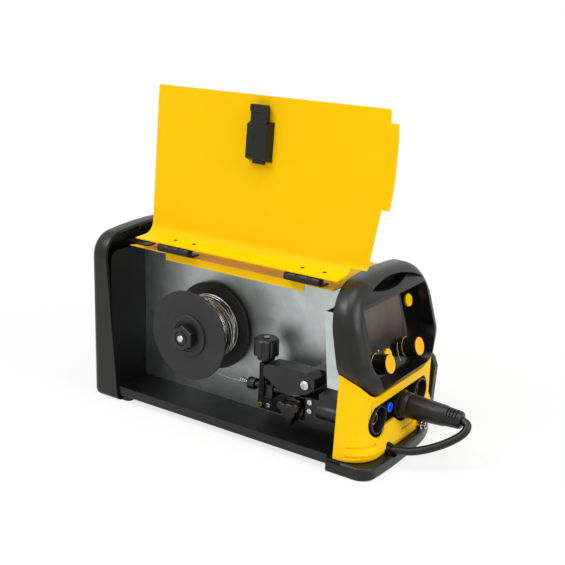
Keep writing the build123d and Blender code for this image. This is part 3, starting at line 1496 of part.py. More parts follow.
with BuildPart() as fan_rotor:
    with BuildSketch(fan_plane.offset(5)):
        with Locations((fan_y, fan_z)):
            Circle(16)
    extrude(amount=fan_depth - 7)
    blade_length = fan_size / 2 - 2 - 1.5 - 14
    with Locations(Plane(origin=(rear_wall_x + 0.2 + fan_depth / 2 + 1, fan_y, fan_z), z_dir=(1, 0, 0))):
        with PolarLocations(14, fan_blades):
            Box(blade_length, 2, 18, rotation=(38, 0, 0), align=(Align.MIN, Align.CENTER, Align.CENTER))
    with BuildSketch(fan_plane):
        with Locations((fan_y, fan_z)):
            Circle(2 + running_gap)
    extrude(amount=fan_depth, mode=Mode.SUBTRACT)
write(fan_rotor.part, "fan_rotor")


# Rear fittings: rocker switch, mains gland and gas inlet, all in the back of the rear cover
back_plane = Plane(origin=(cap_back_x, 0, 0), x_dir=(0, -1, 0), z_dir=(-1, 0, 0))
with BuildPart() as switch_frame:
    with BuildSketch(back_plane):
        with Locations((-switch_y, switch_z)):
            Rectangle(31, 25)
    extrude(amount=2)
    with BuildSketch(back_plane):
        with Locations((-switch_y, switch_z)):
            Rectangle(27, 21)
    extrude(amount=-12)
    with BuildSketch(back_plane.offset(2)):
        with Locations((-switch_y, switch_z)):
            Rectangle(23, 15)
    extrude(amount=-9, mode=Mode.SUBTRACT)
    with BuildSketch(Plane.XZ.offset(-switch_y)):
        with Locations((cap_back_x + rocker_pivot, switch_z)):
            Circle(rocker_axle_radius + running_gap)
    extrude(amount=rocker_axle_half + 0.3, both=True, mode=Mode.SUBTRACT)
write(switch_frame.part, "switch_frame")

with BuildPart() as rocker:
    with BuildSketch(Plane.XZ.offset(-switch_y)):
        with BuildLine():
            half_rocker = 6.6
            Polyline(
                (cap_back_x + 4, switch_z - 4), (cap_back_x + 4, switch_z + 4),
                (cap_back_x - 2.4, switch_z + half_rocker), (cap_back_x - 2.2, switch_z),
                (cap_back_x - 4.6, switch_z - half_rocker), (cap_back_x + 4, switch_z - 4),
            )
        make_face()
    extrude(amount=11, both=True)
    with BuildSketch(Plane.XZ.offset(-switch_y)):
        with Locations((cap_back_x + rocker_pivot, switch_z)):
            Circle(rocker_axle_radius)
    extrude(amount=rocker_axle_half, both=True)
write(rocker.part, "rocker")

with BuildPart() as mains_gland:
    with BuildSketch(back_plane):
        with Locations((-gland_y, gland_z)):
            RegularPolygon(11, 6)
    extrude(amount=6)
    with BuildSketch(back_plane.offset(6)):
        with Locations((-gland_y, gland_z)):
            Circle(9)
    extrude(amount=10, taper=8)
    with BuildSketch(back_plane):
        with Locations((-gland_y, gland_z)):
            Circle(7.8)
    extrude(amount=-10)
    with BuildSketch(back_plane.offset(16)):
        with Locations((-gland_y, gland_z)):
            Circle(4.5)
    extrude(amount=-30, mode=Mode.SUBTRACT)
write(mains_gland.part, "mains_gland")

with BuildPart() as gas_inlet:
    with BuildSketch(back_plane):
        with Locations((-gas_inlet_y, gas_inlet_z)):
            RegularPolygon(8, 6)
    extrude(amount=5)
    with BuildSketch(back_plane):
        with Locations((-gas_inlet_y, gas_inlet_z)):
            Circle(4.8)
    extrude(amount=gas_inlet_reach)
    with BuildSketch(back_plane):
        with Locations((-gas_inlet_y, gas_inlet_z)):
            Circle(4.8)
    extrude(amount=-10)
    with BuildSketch(back_plane.offset(gas_inlet_reach)):
        with Locations((-gas_inlet_y, gas_inlet_z)):
            Circle(2.5)
    extrude(amount=-40, mode=Mode.SUBTRACT)
write(gas_inlet.part, "gas_inlet")
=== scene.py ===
import json
import math
import random

import bpy
from bpy.props import FloatProperty, IntProperty, PointerProperty, StringProperty
from mathutils import Matrix, Vector


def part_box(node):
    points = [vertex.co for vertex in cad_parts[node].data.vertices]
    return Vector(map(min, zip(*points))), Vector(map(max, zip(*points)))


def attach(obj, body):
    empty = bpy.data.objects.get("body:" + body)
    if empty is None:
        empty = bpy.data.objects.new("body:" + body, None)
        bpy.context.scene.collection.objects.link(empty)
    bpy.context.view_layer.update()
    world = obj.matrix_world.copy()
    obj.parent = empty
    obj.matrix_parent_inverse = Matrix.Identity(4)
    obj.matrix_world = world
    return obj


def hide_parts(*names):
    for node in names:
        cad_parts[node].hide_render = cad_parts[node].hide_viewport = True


bl_info = {
    "name": "Compact wire-feed welder",
    "version": (1, 0, 0),
    "blender": (4, 5, 0),
    "location": "3D View > Sidebar > Welder",
    "description": "Dresses the packed solids of a compact wire-feed welder and adds its fine pieces",
    "category": "Object",
}

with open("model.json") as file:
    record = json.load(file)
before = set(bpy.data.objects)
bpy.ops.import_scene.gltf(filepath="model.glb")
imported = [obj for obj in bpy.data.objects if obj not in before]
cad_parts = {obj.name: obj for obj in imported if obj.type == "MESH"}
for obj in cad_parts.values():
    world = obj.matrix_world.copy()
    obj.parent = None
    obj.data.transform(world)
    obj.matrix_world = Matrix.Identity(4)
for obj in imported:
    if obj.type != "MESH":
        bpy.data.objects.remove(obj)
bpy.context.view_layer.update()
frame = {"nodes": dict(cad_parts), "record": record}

MM = 0.001
MERGE = 1e-6   # vertices nearer than this become one, in metres
ORIGIN_X = 10.25   # the pack's origin lies this far behind the origin of the drawing's sizes, in mm
SOFT = {"limit_method": "ANGLE", "angle_limit": math.radians(40)}   # a bevel takes edges sharper than this
COLOUR_A, COLOUR_B, COLOUR_OUT = 6, 7, 2   # colour sockets of a Mix node
BASE_COLOUR = {COLOUR_OUT: "Base Color"}
TOWARDS_FRONT, TOWARDS_VIEWER = (1, 0, 0), (0, -1, 0)

# Places on the machine, in the drawing's millimetres and in degrees
# Leaning front: its rim plane at a height, its lean and the depth of the control face
RIM_X, LEAN_Z, RIM_LEAN, FASCIA_DEPTH = 162.6, 130.0, 16.7, 17.1
# Recess round the controls, darkened with painted shade: half width, foot, top and start behind the rim plane
SHADE_WINDOW_HALF, SHADE_WINDOW_LOW, SHADE_WINDOW_HIGH, SHADE_WINDOW_START = 70.5, 86.0, 168.5, 2.2
# Control knobs from the middle of the control face
KNOB_SPACING, KNOB_DROP = 32.5, -23.5
# Face of the sockets and axis of the plug
SOCKET_X, SOCKET_Z, PLUG_Y = 166.5, 50.6, 5.0
# Spool: axis, inner faces of the flanges, outer face of the near one and seat of the nut
SPOOL_X, SPOOL_Z, SPOOL_FAR_Y, SPOOL_NEAR_Y, FLANGE_Y, NUT_Y = -60.0, 95.0, -27.5, -67.5, -70.0, -73.6
# Line of the wire and mouth of its guide
WIRE_Y, WIRE_Z, GUIDE_X = -45.5, 50.0, 6.5
# Screws of the wire drive: x, z and reach from the partition; the first is the earth screw
PARTITION_Y = -19.0
SCREWS = ((15.5, 23.5, 16.5), (26.0, 24.5, 16.5), (92.0, 54.0, 38.7), (92.0, 44.0, 38.7))
# Adaptor tube: its end from the adaptor's corner, and its height
TUBE_IN_X, TUBE_IN_Y, TUBE_Z = 14.5, 4.5, 46.5
# Finger scoop: foot, crown and radius of the arch, lean of the band, dip and radius of the band's top
SCOOP_EDGE_Z, SCOOP_TOP_Z, SCOOP_ARCH_RADIUS, SCOOP_LEAN = 170.5, 186.85, 154.6, 22.0
SCOOP_SMILE_Z, SCOOP_SMILE_RADIUS = 174.0, 141.0
BAND_SIZE, BAND_CENTRE, BELOW_SIZE, BELOW_CENTRE = (4, 136, 40), (-2, 0, 10), (60, 160, 40), (0, 0, -20)
# Rivets of the door's flange and the way they point
RIVET_X, RIVET_Y, RIVET_Z, RIVET_AXIS = (-94.0, -68.0, 71.0, 97.0), -50.522, 191.619, (0, 0.0767, 0.9971)
# Hinge strip: near and far edge, top, end of the solid's strip, tip of its tail and thickness
STRIP_EDGE_Y, STRIP_BACK_Y, STRIP_TOP_Z, STRIP_REAR_X, STRIP_TAIL_X, SHEET = -57.0, -42.0, 178.5, -122.0, -154.0, 1.0
# Tongue of the rear cover, a black plate that also stands as painted shade for the gap under the door's flange:
# length, width, height and the legs of its cut corner
TONGUE_X, TONGUE_Y, TONGUE_HEIGHT, TONGUE_CORNER = (-168.0, -133.5), (-52.0, -37.0), 2.0, (3.0, 7.0)
# Door: centre and radius of the tab's bowed edge, what lies beyond it, upper corners and their sides
TAB_ARC, TAB_ARC_RADIUS = (-242.65, -30.0, 305.2), 400.0
BEYOND_TAB_SIZE, BEYOND_TAB = (60, 60, 100), (180, -30, 305)
DOOR_CORNERS, DOOR_TOP_Y, CORNER_RADIUS = ((-138.0, 355.53, -1), (146.07, 355.53, 1)), -25.0, 2.2
# Reach of the tools that cut door, corners and scoop, depth of the corner block
DOOR_TOOL, CORNER_TOOL, SCOOP_TOOL, CORNER_DEPTH = 80, 15, 60, 20
# Hinges: middles in the solids, reach of one, share of the length that shows and shift to the rear
HINGE_X, HINGE_REACH, HINGE_SHARE, HINGE_SHIFT = (-81.0, 84.0), 40.0, 0.77, -4.2
CABLE_ROUTE = (
    (172.5, -36.0, 17.5), (191.0, -33.5, 18.0), (207.5, -27.0, 22.5), (222.0, -18.0, 28.5),
    (234.0, -9.0, 36.0), (241.0, -1.0, 43.0), (239.5, 5.0, 50.6), (227.5, 5.0, 50.6),
)

# Turned pieces: radius and height of each ring, in mm
PLUG_RINGS = (
    (4.6, 0.1), (13.2, 0.1), (13.9, 0.8), (13.9, 7.7), (13.3, 8.5), (12.5, 8.8), (12.5, 9.8), (12.95, 10.2),
    (12.9, 12.0), (12.3, 24.0), (11.6, 37.0), (10.95, 48.0), (10.5, 49.4), (10.1, 51.0), (9.3, 64.0),
    (8.9, 65.5), (8.0, 66.6), (6.6, 67.0), (4.4, 67.0), (4.4, 58.0),
)
SCREW_RINGS = ((2.8, 0), (3.0, 0.2), (3.0, 1.8), (2.75, 2.25), (2.4, 2.4))
PIVOT_RINGS = ((3.0, -38.0), (3.0, 0.0), (5.5, 0.0), (5.6, 0.6), (5.3, 1.4), (4.3, 2.2), (2.6, 2.7))
NUT_RINGS = ((14.2, 0.0), (14.9, 0.5), (15.2, 1.2), (14.8, 7.2), (14.0, 8.2), (12.6, 8.6))
BOLT_END_RINGS = ((3.0, 7.4), (3.7, 7.5), (3.7, 9.7), (3.4, 10.2), (2.4, 10.4))
HUB_RINGS = ((22.6, 0.0), (23.4, 0.0), (23.8, 0.4), (23.8, 1.8), (23.2, 2.4), (22.0, 2.5))
TUBE_RINGS = ((7.4, 0.0), (8.6, 0.5), (9.0, 1.4), (9.0, 33.0), (8.6, 33.6))
RIVET_RINGS = ((1.6, -0.6), (1.6, 0.45), (2.0, 0.5), (2.1, 0.8), (1.7, 1.3), (0.9, 1.6))
ROD_END_RINGS = ((3.0, -0.4), (3.3, -0.3), (3.3, 0.1), (2.9, 0.4), (1.8, 0.5))

# Round tools that cut them: radius, low and high end in mm
SCREW_SOCKET, BOLT_SHANK, HUB_BORE = (1.5, 0.9, 3.4), (2.9, 6.0, 10.05), (17.6, -1.0, 4.0)
NUT_GROOVE, NUT_LAND, NUT_BORE = (8.3, 7.2, 10.0), (6.9, 6.0, 12.0), (3.8, -1.0, 12.0)

# Strain relief of the plug: turn and first slot of each side, slots to a side, their step, size and reach
RELIEF_SIDES, RELIEF_SLOTS, RELIEF_STEP = ((120, 52.3), (-60, 53.9)), 4, 3.2
RELIEF_SLOT, RELIEF_REACH = (10, 26, 1.3), 11.6
# Pivot's head: how far its seat lies behind the pin's end, the two arms of its cross slot and their height
PIVOT_SEAT, PIVOT_SLOTS, PIVOT_SLOT_Z = 2.0, ((5.6, 1.1, 3.0), (1.1, 5.6, 3.0)), 2.9
# Inlet spring: turns, steps to a turn, start in the guide, length, coil radii and radius of the wire
SPRING_TURNS, SPRING_STEPS, SPRING_START, SPRING_LENGTH, SPRING_COIL, SPRING_WIRE = 5, 24, 0.6, 12.0, (1.5, 3.9), 0.55

# Winding: gap to the flanges, steps to a turn, seed; waves in which a turn wanders, their rates and starts
WINDING_GAP, WINDING_STEPS, WINDING_SEED = 1.3, 40, 11
WAVES, WAVE_RATES, WAVE_STARTS = 4, (0.2, 1.5), (0, 6.3)
# Rise and fall of a turn and its rate; bore of the core and its lap under the wire and gap to the flanges
BULGE, BULGE_RATE, CORE_BORE, CORE_LAP = 0.12, 1.7, 26.1, 0.1
# Layers: turns, first angle, lift and wander in mm, and the way along the spool
EVEN_LAYER = (0.0, 0.00, 0.5, 1)
CROSSING_LAYERS = ((7, 0.9, 0.35, 6.0, -1), (7, 1.7, 0.65, 8.0, 1), (6, 2.3, 0.95, 10.0, -1), (4, 4.1, 1.15, 11.0, 1))

# Printed scales: lift off the face, width, first step and thickness of the ink; start and sweep of each arc
INK_LIFT, INK_WIDTH, INK_STEP, INK_THICKNESS, OUTER_SCALE = 0.02, 0.6, 0.2, 0.1, 20.5
LEFT_ARC, RIGHT_ARC, OUTER_ARC = (75, 70), (77, 153), (152, 53)
POINTER_TURN, POINTER_OUT, POINTER_SIZE, DOT_TURN, DOT_SIZE = 60, 14.2, 1.9, 205, 0.9

# Soft lights: place, aim and side in metres, power in watts
LIGHTS = (
    ("key_light", (-0.9, -1.6, 2.4), (0, 0, 0.15), 1.2, 37),
    ("front_light", (2.0, -0.1, 1.2), (0.1, 0, 0.1), 1.3, 22),
    ("top_light", (0.3, -0.3, 2.3), (0, 0, 0.1), 1.4, 19),
)
SOFT_LIGHT = 0.35   # strength of the white surroundings away from the eye
# Floor: white to the eye, matt colour, ring in metres over which its shadow ends and share of white inside it
WHITE, MATT_FLOOR, FLOOR_RING, FLOOR_SHARE = "#ffffff", "#f6f6f6", (0.2, 0.6), 0.78
# Camera: place in mm, then turn, rise and roll in degrees, focal length and sensor in mm
CAMERA_PLACE, CAMERA_TURN, FOCAL_LENGTH, SENSOR = (574.63, -855.24, 464.30), (33.219, 16.894, 2.051), 62.616, 36.0


def at(x, y, z):
    """A place in the drawing's millimetres, as a point of the pack in metres."""
    return Vector(((x + ORIGIN_X) * MM, y * MM, z * MM))


DRAWING = Matrix.Translation(at(0, 0, 0))


def facing(origin, normal, up=(0, 0, 1)):
    """Placement whose local Z points along a normal, with local Y as near to up as it can be."""
    z = Vector(normal).normalized()
    x = Vector(up).cross(z).normalized()
    y = z.cross(x)
    return Matrix.Translation(origin) @ Matrix((x, y, z)).transposed().to_4x4()


def rim_normal():
    """The way that the leaning front faces."""
    lean = math.radians(RIM_LEAN)
    return Vector((math.cos(lean), 0, math.sin(lean)))


def on_fascia(y, v, out):
    """Placement on the leaning control face: across, up the face and out of it, in mm."""
    normal = rim_normal()
    up = Vector((-normal.z, 0, normal.x))
    start = Vector((RIM_X, 0, LEAN_Z)) - normal * FASCIA_DEPTH
    point = start + up * v + normal * out + Vector((0, y, 0))
    return facing(at(*point), normal, up)


# Modelling steps shared by the pieces
def deselect():
    """Object mode with nothing selected."""
    if bpy.context.mode != "OBJECT":
        bpy.ops.object.mode_set(mode="OBJECT")
    bpy.ops.object.select_all(action="DESELECT")


def only(piece):
    """Make one piece the selected and active one."""
    deselect()
    piece.select_set(True)
    bpy.context.view_layer.objects.active = piece


def edit_all(piece):
    """Edit mode on one piece with all of it selected."""
    only(piece)
    bpy.ops.object.mode_set(mode="EDIT")
    bpy.ops.mesh.select_all(action="SELECT")


def named(name):
    """Name the piece just made and put its place in its mesh."""
    piece = bpy.context.object
    piece.name = piece.data.name = name
    bpy.ops.object.transform_apply(location=True, rotation=True, scale=True)
    return piece


def place(piece, matrix):
    """Put a piece modelled at the origin in its place, with the place in its mesh."""
    only(piece)
    piece.matrix_world = matrix
    bpy.ops.object.transform_apply(location=True, rotation=True, scale=True)
    return piece


def smooth(piece, degrees=35):
    """Smooth shading that keeps edges sharper than an angle."""
    only(piece)
    bpy.ops.object.shade_smooth_by_angle(angle=math.radians(degrees))
    return piece


def modify(piece, kind, **settings):
    """Add a modifier with its settings."""
    modifier = piece.modifiers.new(kind.title(), kind)
    for name, value in settings.items():
        setattr(modifier, name, value)
    return modifier


def apply_modifier(piece, kind, **settings):
    """Add a modifier with its settings and apply it."""
    only(piece)
    bpy.ops.object.modifier_apply(modifier=modify(piece, kind, **settings).name)
    return piece


def cut(piece, tool, operation="DIFFERENCE"):
    """Cut a tool's shape out of a piece, or keep what both share, and drop the tool."""
    apply_modifier(piece, "BOOLEAN", operation=operation, object=tool, solver="EXACT")
    bpy.data.objects.remove(tool)
    return piece


def turned(name, rings, segments=48):
    """A turned piece about Z: a disc extruded and scaled from ring to ring; rings are radius, height in mm."""
    deselect()
    radius, height = rings[0]
    bpy.ops.mesh.primitive_circle_add(
        vertices=segments, radius=radius * MM, fill_type="NGON", location=(0, 0, height * MM)
    )
    piece = named(name)
    edit_all(piece)
    for next_radius, next_height in rings[1:]:
        rise = (0, 0, (next_height - height) * MM)
        bpy.ops.mesh.extrude_region_move(TRANSFORM_OT_translate={"value": rise})
        share = next_radius / radius
        bpy.ops.transform.resize(value=(share, share, 1), center_override=(0, 0, next_height * MM))
        radius, height = next_radius, next_height
    bpy.ops.mesh.select_all(action="SELECT")
    bpy.ops.mesh.normals_make_consistent(inside=False)
    bpy.ops.object.mode_set(mode="OBJECT")
    return piece


def rod(name, radius, low, high, segments):
    """A plain round tool about Z between two heights in mm."""
    return turned(name, ((radius, low), (radius, high)), segments)


def box(name, size, centre=(0, 0, 0)):
    """A block of a size in mm about a centre."""
    deselect()
    bpy.ops.mesh.primitive_cube_add(size=1, location=Vector(centre) * MM)
    bpy.context.object.scale = Vector(size) * MM
    return named(name)


def trimmed(piece, point, normal):
    """Cut away and close what lies beyond a plane through a point in mm."""
    edit_all(piece)
    bpy.ops.mesh.bisect(plane_co=Vector(point) * MM, plane_no=normal, use_fill=True, clear_outer=True)
    bpy.ops.object.mode_set(mode="OBJECT")
    return piece


def joined(name, parts):
    """Several parts as one piece."""
    deselect()
    for part in parts:
        part.select_set(True)
    bpy.context.view_layer.objects.active = parts[0]
    if len(parts) > 1:
        bpy.ops.object.join()
    piece = bpy.context.object
    piece.name = piece.data.name = name
    return piece


def set_out(piece, places):
    """A piece and copies of it with meshes of their own, one at each of several places."""
    pieces = [piece]
    for _ in places[1:]:
        only(piece)
        bpy.ops.object.duplicate(linked=False)
        pieces.append(bpy.context.object)
    return [place(one, matrix) for one, matrix in zip(pieces, places)]


def pick(piece, test):
    """Select the vertices whose place passes a test and the edges between them, and no faces."""
    mesh = piece.data
    passed = [bool(test(vertex.co)) for vertex in mesh.vertices]
    mesh.vertices.foreach_set("select", passed)
    mesh.edges.foreach_set("select", [all(passed[i] for i in edge.vertices) for edge in mesh.edges])
    mesh.polygons.foreach_set("select", [False] * len(mesh.polygons))


def node_copy(name, node):
    """A merged copy of a solid's mesh as a piece of its own."""
    piece = bpy.data.objects.new(name, frame["nodes"][node].data.copy())
    piece.data.name = name
    bpy.context.collection.objects.link(piece)
    only(piece)
    bpy.ops.mesh.customdata_custom_splitnormals_clear()
    edit_all(piece)
    bpy.ops.mesh.remove_doubles(threshold=MERGE)
    bpy.ops.mesh.dissolve_limited(angle_limit=math.radians(0.5))
    bpy.ops.object.mode_set(mode="OBJECT")
    return piece


def round_line(name, points, radius, sides, kind="POLY"):
    """A round cord through a list of points, as a curve; sizes in metres."""
    curve = bpy.data.curves.new(name, "CURVE")
    curve.dimensions = "3D"
    curve.bevel_depth = radius
    curve.bevel_resolution = sides
    curve.use_fill_caps = True
    line = curve.splines.new(kind)
    line.points.add(len(points) - 1)
    for target, point in zip(line.points, points):
        target.co = (*point, 1)
    piece = bpy.data.objects.new(name, curve)
    bpy.context.collection.objects.link(piece)
    return piece


def wire_along(name, points, radius, sides):
    """A round wire through a list of points, as a mesh; sizes in metres."""
    only(round_line(name, points, radius, sides))
    bpy.ops.object.convert(target="MESH")
    piece = bpy.context.object
    edit_all(piece)
    bpy.ops.mesh.remove_doubles(threshold=MERGE)
    bpy.ops.mesh.normals_make_consistent(inside=False)
    bpy.ops.object.mode_set(mode="OBJECT")
    return smooth(piece, degrees=60)


def finished(piece, finish, body, slot, *nodes):
    """Give a piece its finish, the body that it moves with and the nodes that it stands for; its slot is not used."""
    piece.data.materials.clear()
    piece.data.materials.append(bpy.data.materials[finish])
    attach(piece, body)
    if nodes:
        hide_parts(*nodes)
    return piece


def fitted(piece, matrix, finish, body, slot, *nodes, degrees=35):
    """Put a piece modelled at the origin in its place, smooth it and finish it."""
    return finished(smooth(place(piece, matrix), degrees), finish, body, slot, *nodes)


# Finishes
def linear(code):
    """Linear colour of an sRGB hex code."""
    channels = [int(code[i:i + 2], 16) / 255 for i in (1, 3, 5)]
    return (*[c / 12.92 if c <= 0.04045 else ((c + 0.055) / 1.055) ** 2.4 for c in channels], 1.0)


def shades(colours, key):
    """A colour and its second shade, as hex codes."""
    return getattr(colours, key), getattr(colours, key + "_shade")


def per_mm(size):
    """Texture scale at which one feature is a size in mm across."""
    return 1 / (size * MM)


def add(tree, kind, inputs=None, feeds=None, **settings):
    """Add a shader node with its settings, constants and links, and the surface's sockets that it feeds."""
    made = tree.nodes.new(kind)
    for name, value in settings.items():
        setattr(made, name, value)
    for socket, value in (inputs or {}).items():
        if isinstance(value, bpy.types.NodeSocket):
            tree.links.new(value, made.inputs[socket])
        else:
            made.inputs[socket].default_value = value
    for output, socket in (feeds or {}).items():
        tree.links.new(made.outputs[output], tree.nodes["Principled BSDF"].inputs[socket])
    return made


def surface(name, constants):
    """A material with its shader's constant sockets set; gives its tree and Object coordinates."""
    material = bpy.data.materials.new(name)
    material.use_nodes = True
    tree = material.node_tree
    for socket, value in constants.items():
        tree.nodes["Principled BSDF"].inputs[socket].default_value = value
    return tree, add(tree, "ShaderNodeTexCoord").outputs["Object"]


def mottled(tree, coords, pair, patch_mm, rough, rough_mm):
    """Two shades in soft patches and a roughness that drifts between two values."""
    patch = add(tree, "ShaderNodeTexNoise", {"Vector": coords, "Scale": per_mm(patch_mm), "Detail": 4.0})
    light, dark = map(linear, pair)
    shade = add(tree, "ShaderNodeMix", {"Factor": patch.outputs["Fac"], COLOUR_A: light, COLOUR_B: dark},
                BASE_COLOUR, data_type="RGBA")
    drift = add(tree, "ShaderNodeTexNoise", {"Vector": coords, "Scale": per_mm(rough_mm), "Detail": 3.0})
    add(tree, "ShaderNodeMapRange", {
        "Value": drift.outputs["Fac"], "From Min": 0.3, "From Max": 0.7, "To Min": rough[0], "To Max": rough[1]},
        {"Result": "Roughness"})
    return shade.outputs[COLOUR_OUT]


def grain(tree, coords, size_mm, height_mm, strength):
    """A fine relief of a grain size and height."""
    relief = add(tree, "ShaderNodeTexNoise", {"Vector": coords, "Scale": per_mm(size_mm)})
    add(tree, "ShaderNodeBump", {
        "Height": relief.outputs["Fac"], "Distance": height_mm * MM, "Strength": strength},
        {"Normal": "Normal"})


# Coats and mouldings: colour, least and most roughness, gloss
COATS = {
    "yellow_powder_coat": ("yellow", (0.40, 0.50), 0.08),
    "black_powder_coat": ("black_coat", (0.38, 0.48), 0.36),
}
MOULDINGS = {
    "yellow_moulded_abs": ("yellow", (0.32, 0.42), 0.10),
    "black_moulded_abs": ("black", (0.28, 0.38), 0.32),
    "orange_cap_abs": ("cap", (0.34, 0.44), 0.10),
    "spool_polystyrene": ("spool", (0.46, 0.56), 0.35),
    "glass_filled_nylon": ("nylon", (0.34, 0.46), 0.40),
}
MOULDED_PATCH, MOULDED_DRIFT, MOULDED_GRAIN = 45, 9, (0.9, 0.04, 0.2)   # mm; grain is size, height and strength
# Metals: light and dark colour, least and most roughness, tool marks in mm
METALS = {
    "zinc_plated_steel": (("#d9dbdc", "#b9bcbd"), (0.20, 0.32), 0.8),
    "tool_steel": (("#8f867c", "#5e554d"), (0.20, 0.32), 0.7),
    "turned_brass": (("#f0cb98", "#c99c62"), (0.18, 0.28), 0.6),
    "black_oxide_steel": (("#2a2928", "#1b1a1a"), (0.30, 0.42), 0.8),
    "yellow_passivated_zinc": (("#b8b24a", "#8f9a45"), (0.28, 0.40), 0.8),
    "chromed_brass": (("#e4e5e6", "#cfd1d2"), (0.08, 0.14), 2.0),
    "cast_aluminium": (("#b9bdc0", "#a4a8ab"), (0.38, 0.5), 1.2),
}
FASCIA, INK, BOARD = ("#070606", "#0a0908"), ("#e8c02a", "#d9b11f"), ("#2f7a50", "#1c5235")
# The inner layers' colours are painted shade of wire, with lighter crests as painted highlight
# The recess colour is painted shade for the recess round the controls of the front frame
PAINTED_SHADE_LAYERS, PAINTED_RECESS_SHADE, FITTING_BRASS = ("#100f0f", "#3e3c3a"), "#060505", "#d9b48a"
RING_DEPTH = 2.6   # blue ring of the push fitting, in mm
DISPLAY_SHADE_LOW, DISPLAY_SHADE_HIGH, DISPLAY_SHADE_SWAY = 138, 180, 30   # heights of the dark and light end of the display's painted shade, and the sway of its edge, in mm


def shell_finishes(colours):
    """Coats and mouldings of the shell."""
    # Powder coated steel: an even satin colour with a faint orange peel
    for name, (key, rough, gloss) in COATS.items():
        tree, coords = surface(name, {"Specular IOR Level": gloss, "IOR": 1.5})
        mottled(tree, coords, shades(colours, key), patch_mm=60, rough=rough, rough_mm=14)
        grain(tree, coords, size_mm=1.6, height_mm=0.05, strength=0.2)

    # Moulded ABS: spark-eroded grain, drawn at 0.9 mm because the real one is too fine to show
    for name, (key, rough, gloss) in MOULDINGS.items():
        tree, coords = surface(name, {"Specular IOR Level": gloss, "IOR": 1.53})
        mottled(tree, coords, shades(colours, key), MOULDED_PATCH, rough, MOULDED_DRIFT)
        grain(tree, coords, *MOULDED_GRAIN)

    # Front frame: grained ABS outside, with painted shade in the recess round the controls, where its colour turns
    # near black
    key, rough, gloss = MOULDINGS["black_moulded_abs"]
    tree, coords = surface("black_moulded_abs_painted_recess_shade", {"Specular IOR Level": gloss, "IOR": 1.53})
    normal = rim_normal()
    along = add(tree, "ShaderNodeVectorMath", {0: coords, 1: normal}, operation="DOT_PRODUCT").outputs["Value"]
    spot = add(tree, "ShaderNodeSeparateXYZ", {"Vector": coords}).outputs
    sideways = add(tree, "ShaderNodeMath", {0: spot["Y"]}, operation="ABSOLUTE").outputs[0]
    # Painted shade: a mask of the recess round the controls, inside which the colour turns near black
    painted_shade_mask = 1.0
    for value, limit, test in (
        (along, at(RIM_X, 0, LEAN_Z).dot(normal) - SHADE_WINDOW_START * MM, "LESS_THAN"),
        (sideways, SHADE_WINDOW_HALF * MM, "LESS_THAN"),
        (spot["Z"], SHADE_WINDOW_HIGH * MM, "LESS_THAN"),
        (spot["Z"], SHADE_WINDOW_LOW * MM, "GREATER_THAN"),
    ):
        passed = add(tree, "ShaderNodeMath", {0: value, 1: limit}, operation=test)
        painted_shade_mask = add(tree, "ShaderNodeMath", {0: passed.outputs[0], 1: painted_shade_mask}, operation="MULTIPLY").outputs[0]
    shade = mottled(tree, coords, shades(colours, key), MOULDED_PATCH, rough, MOULDED_DRIFT)
    add(tree, "ShaderNodeMix", {"Factor": painted_shade_mask, COLOUR_A: shade, COLOUR_B: linear(PAINTED_RECESS_SHADE)},
        BASE_COLOUR, data_type="RGBA")
    grain(tree, coords, *MOULDED_GRAIN)


def panel_finishes(colours):
    """Control face, display, printed scales and circuit boards."""
    # Gloss acrylic front: deep black that mirrors the knobs, with a few faint wipe marks
    tree, coords = surface("gloss_acrylic_fascia", {"IOR": 1.49, "Specular IOR Level": 0.25})
    mottled(tree, coords, FASCIA, patch_mm=30, rough=(0.04, 0.09), rough_mm=18)

    # Display cover: tinted acrylic, a warm grey with painted shade that darkens it towards its foot and painted light
    # towards its top
    tree, coords = surface(
        "tinted_display_painted_shade", {"IOR": 1.49, "Specular IOR Level": 0.08, "Roughness": 0.2})
    height = add(tree, "ShaderNodeSeparateXYZ", {"Vector": coords})
    cloud = add(tree, "ShaderNodeTexNoise", {"Vector": coords, "Scale": per_mm(40), "Detail": 2.0})
    sway = add(tree, "ShaderNodeMath", {0: cloud.outputs["Fac"], 1: DISPLAY_SHADE_SWAY * MM, 2: height.outputs["Z"]},
               operation="MULTIPLY_ADD")
    painted_shade_ramp = add(tree, "ShaderNodeMapRange", {
        "Value": sway.outputs[0], "From Min": DISPLAY_SHADE_LOW * MM, "From Max": DISPLAY_SHADE_HIGH * MM})
    light, dark = map(linear, shades(colours, "display"))
    add(tree, "ShaderNodeMix", {"Factor": painted_shade_ramp.outputs["Result"], COLOUR_A: dark, COLOUR_B: light},
        BASE_COLOUR, data_type="RGBA")

    # Printed scale: flat yellow ink
    tree, coords = surface("printed_scale_ink", {"IOR": 1.5})
    mottled(tree, coords, INK, patch_mm=8, rough=(0.4, 0.5), rough_mm=4)

    # Circuit board: solder mask over a net of tracks about 3 mm apart
    tree, coords = surface("solder_masked_board", {"IOR": 1.5})
    tracks = add(tree, "ShaderNodeTexVoronoi", {"Vector": coords, "Scale": per_mm(3)}, feature="DISTANCE_TO_EDGE")
    edge = add(tree, "ShaderNodeMapRange", {"Value": tracks.outputs["Distance"], "From Max": 0.12})
    light, dark = map(linear, BOARD)
    add(tree, "ShaderNodeMix", {"Factor": edge.outputs["Result"], COLOUR_A: light, COLOUR_B: dark},
        BASE_COLOUR, data_type="RGBA")


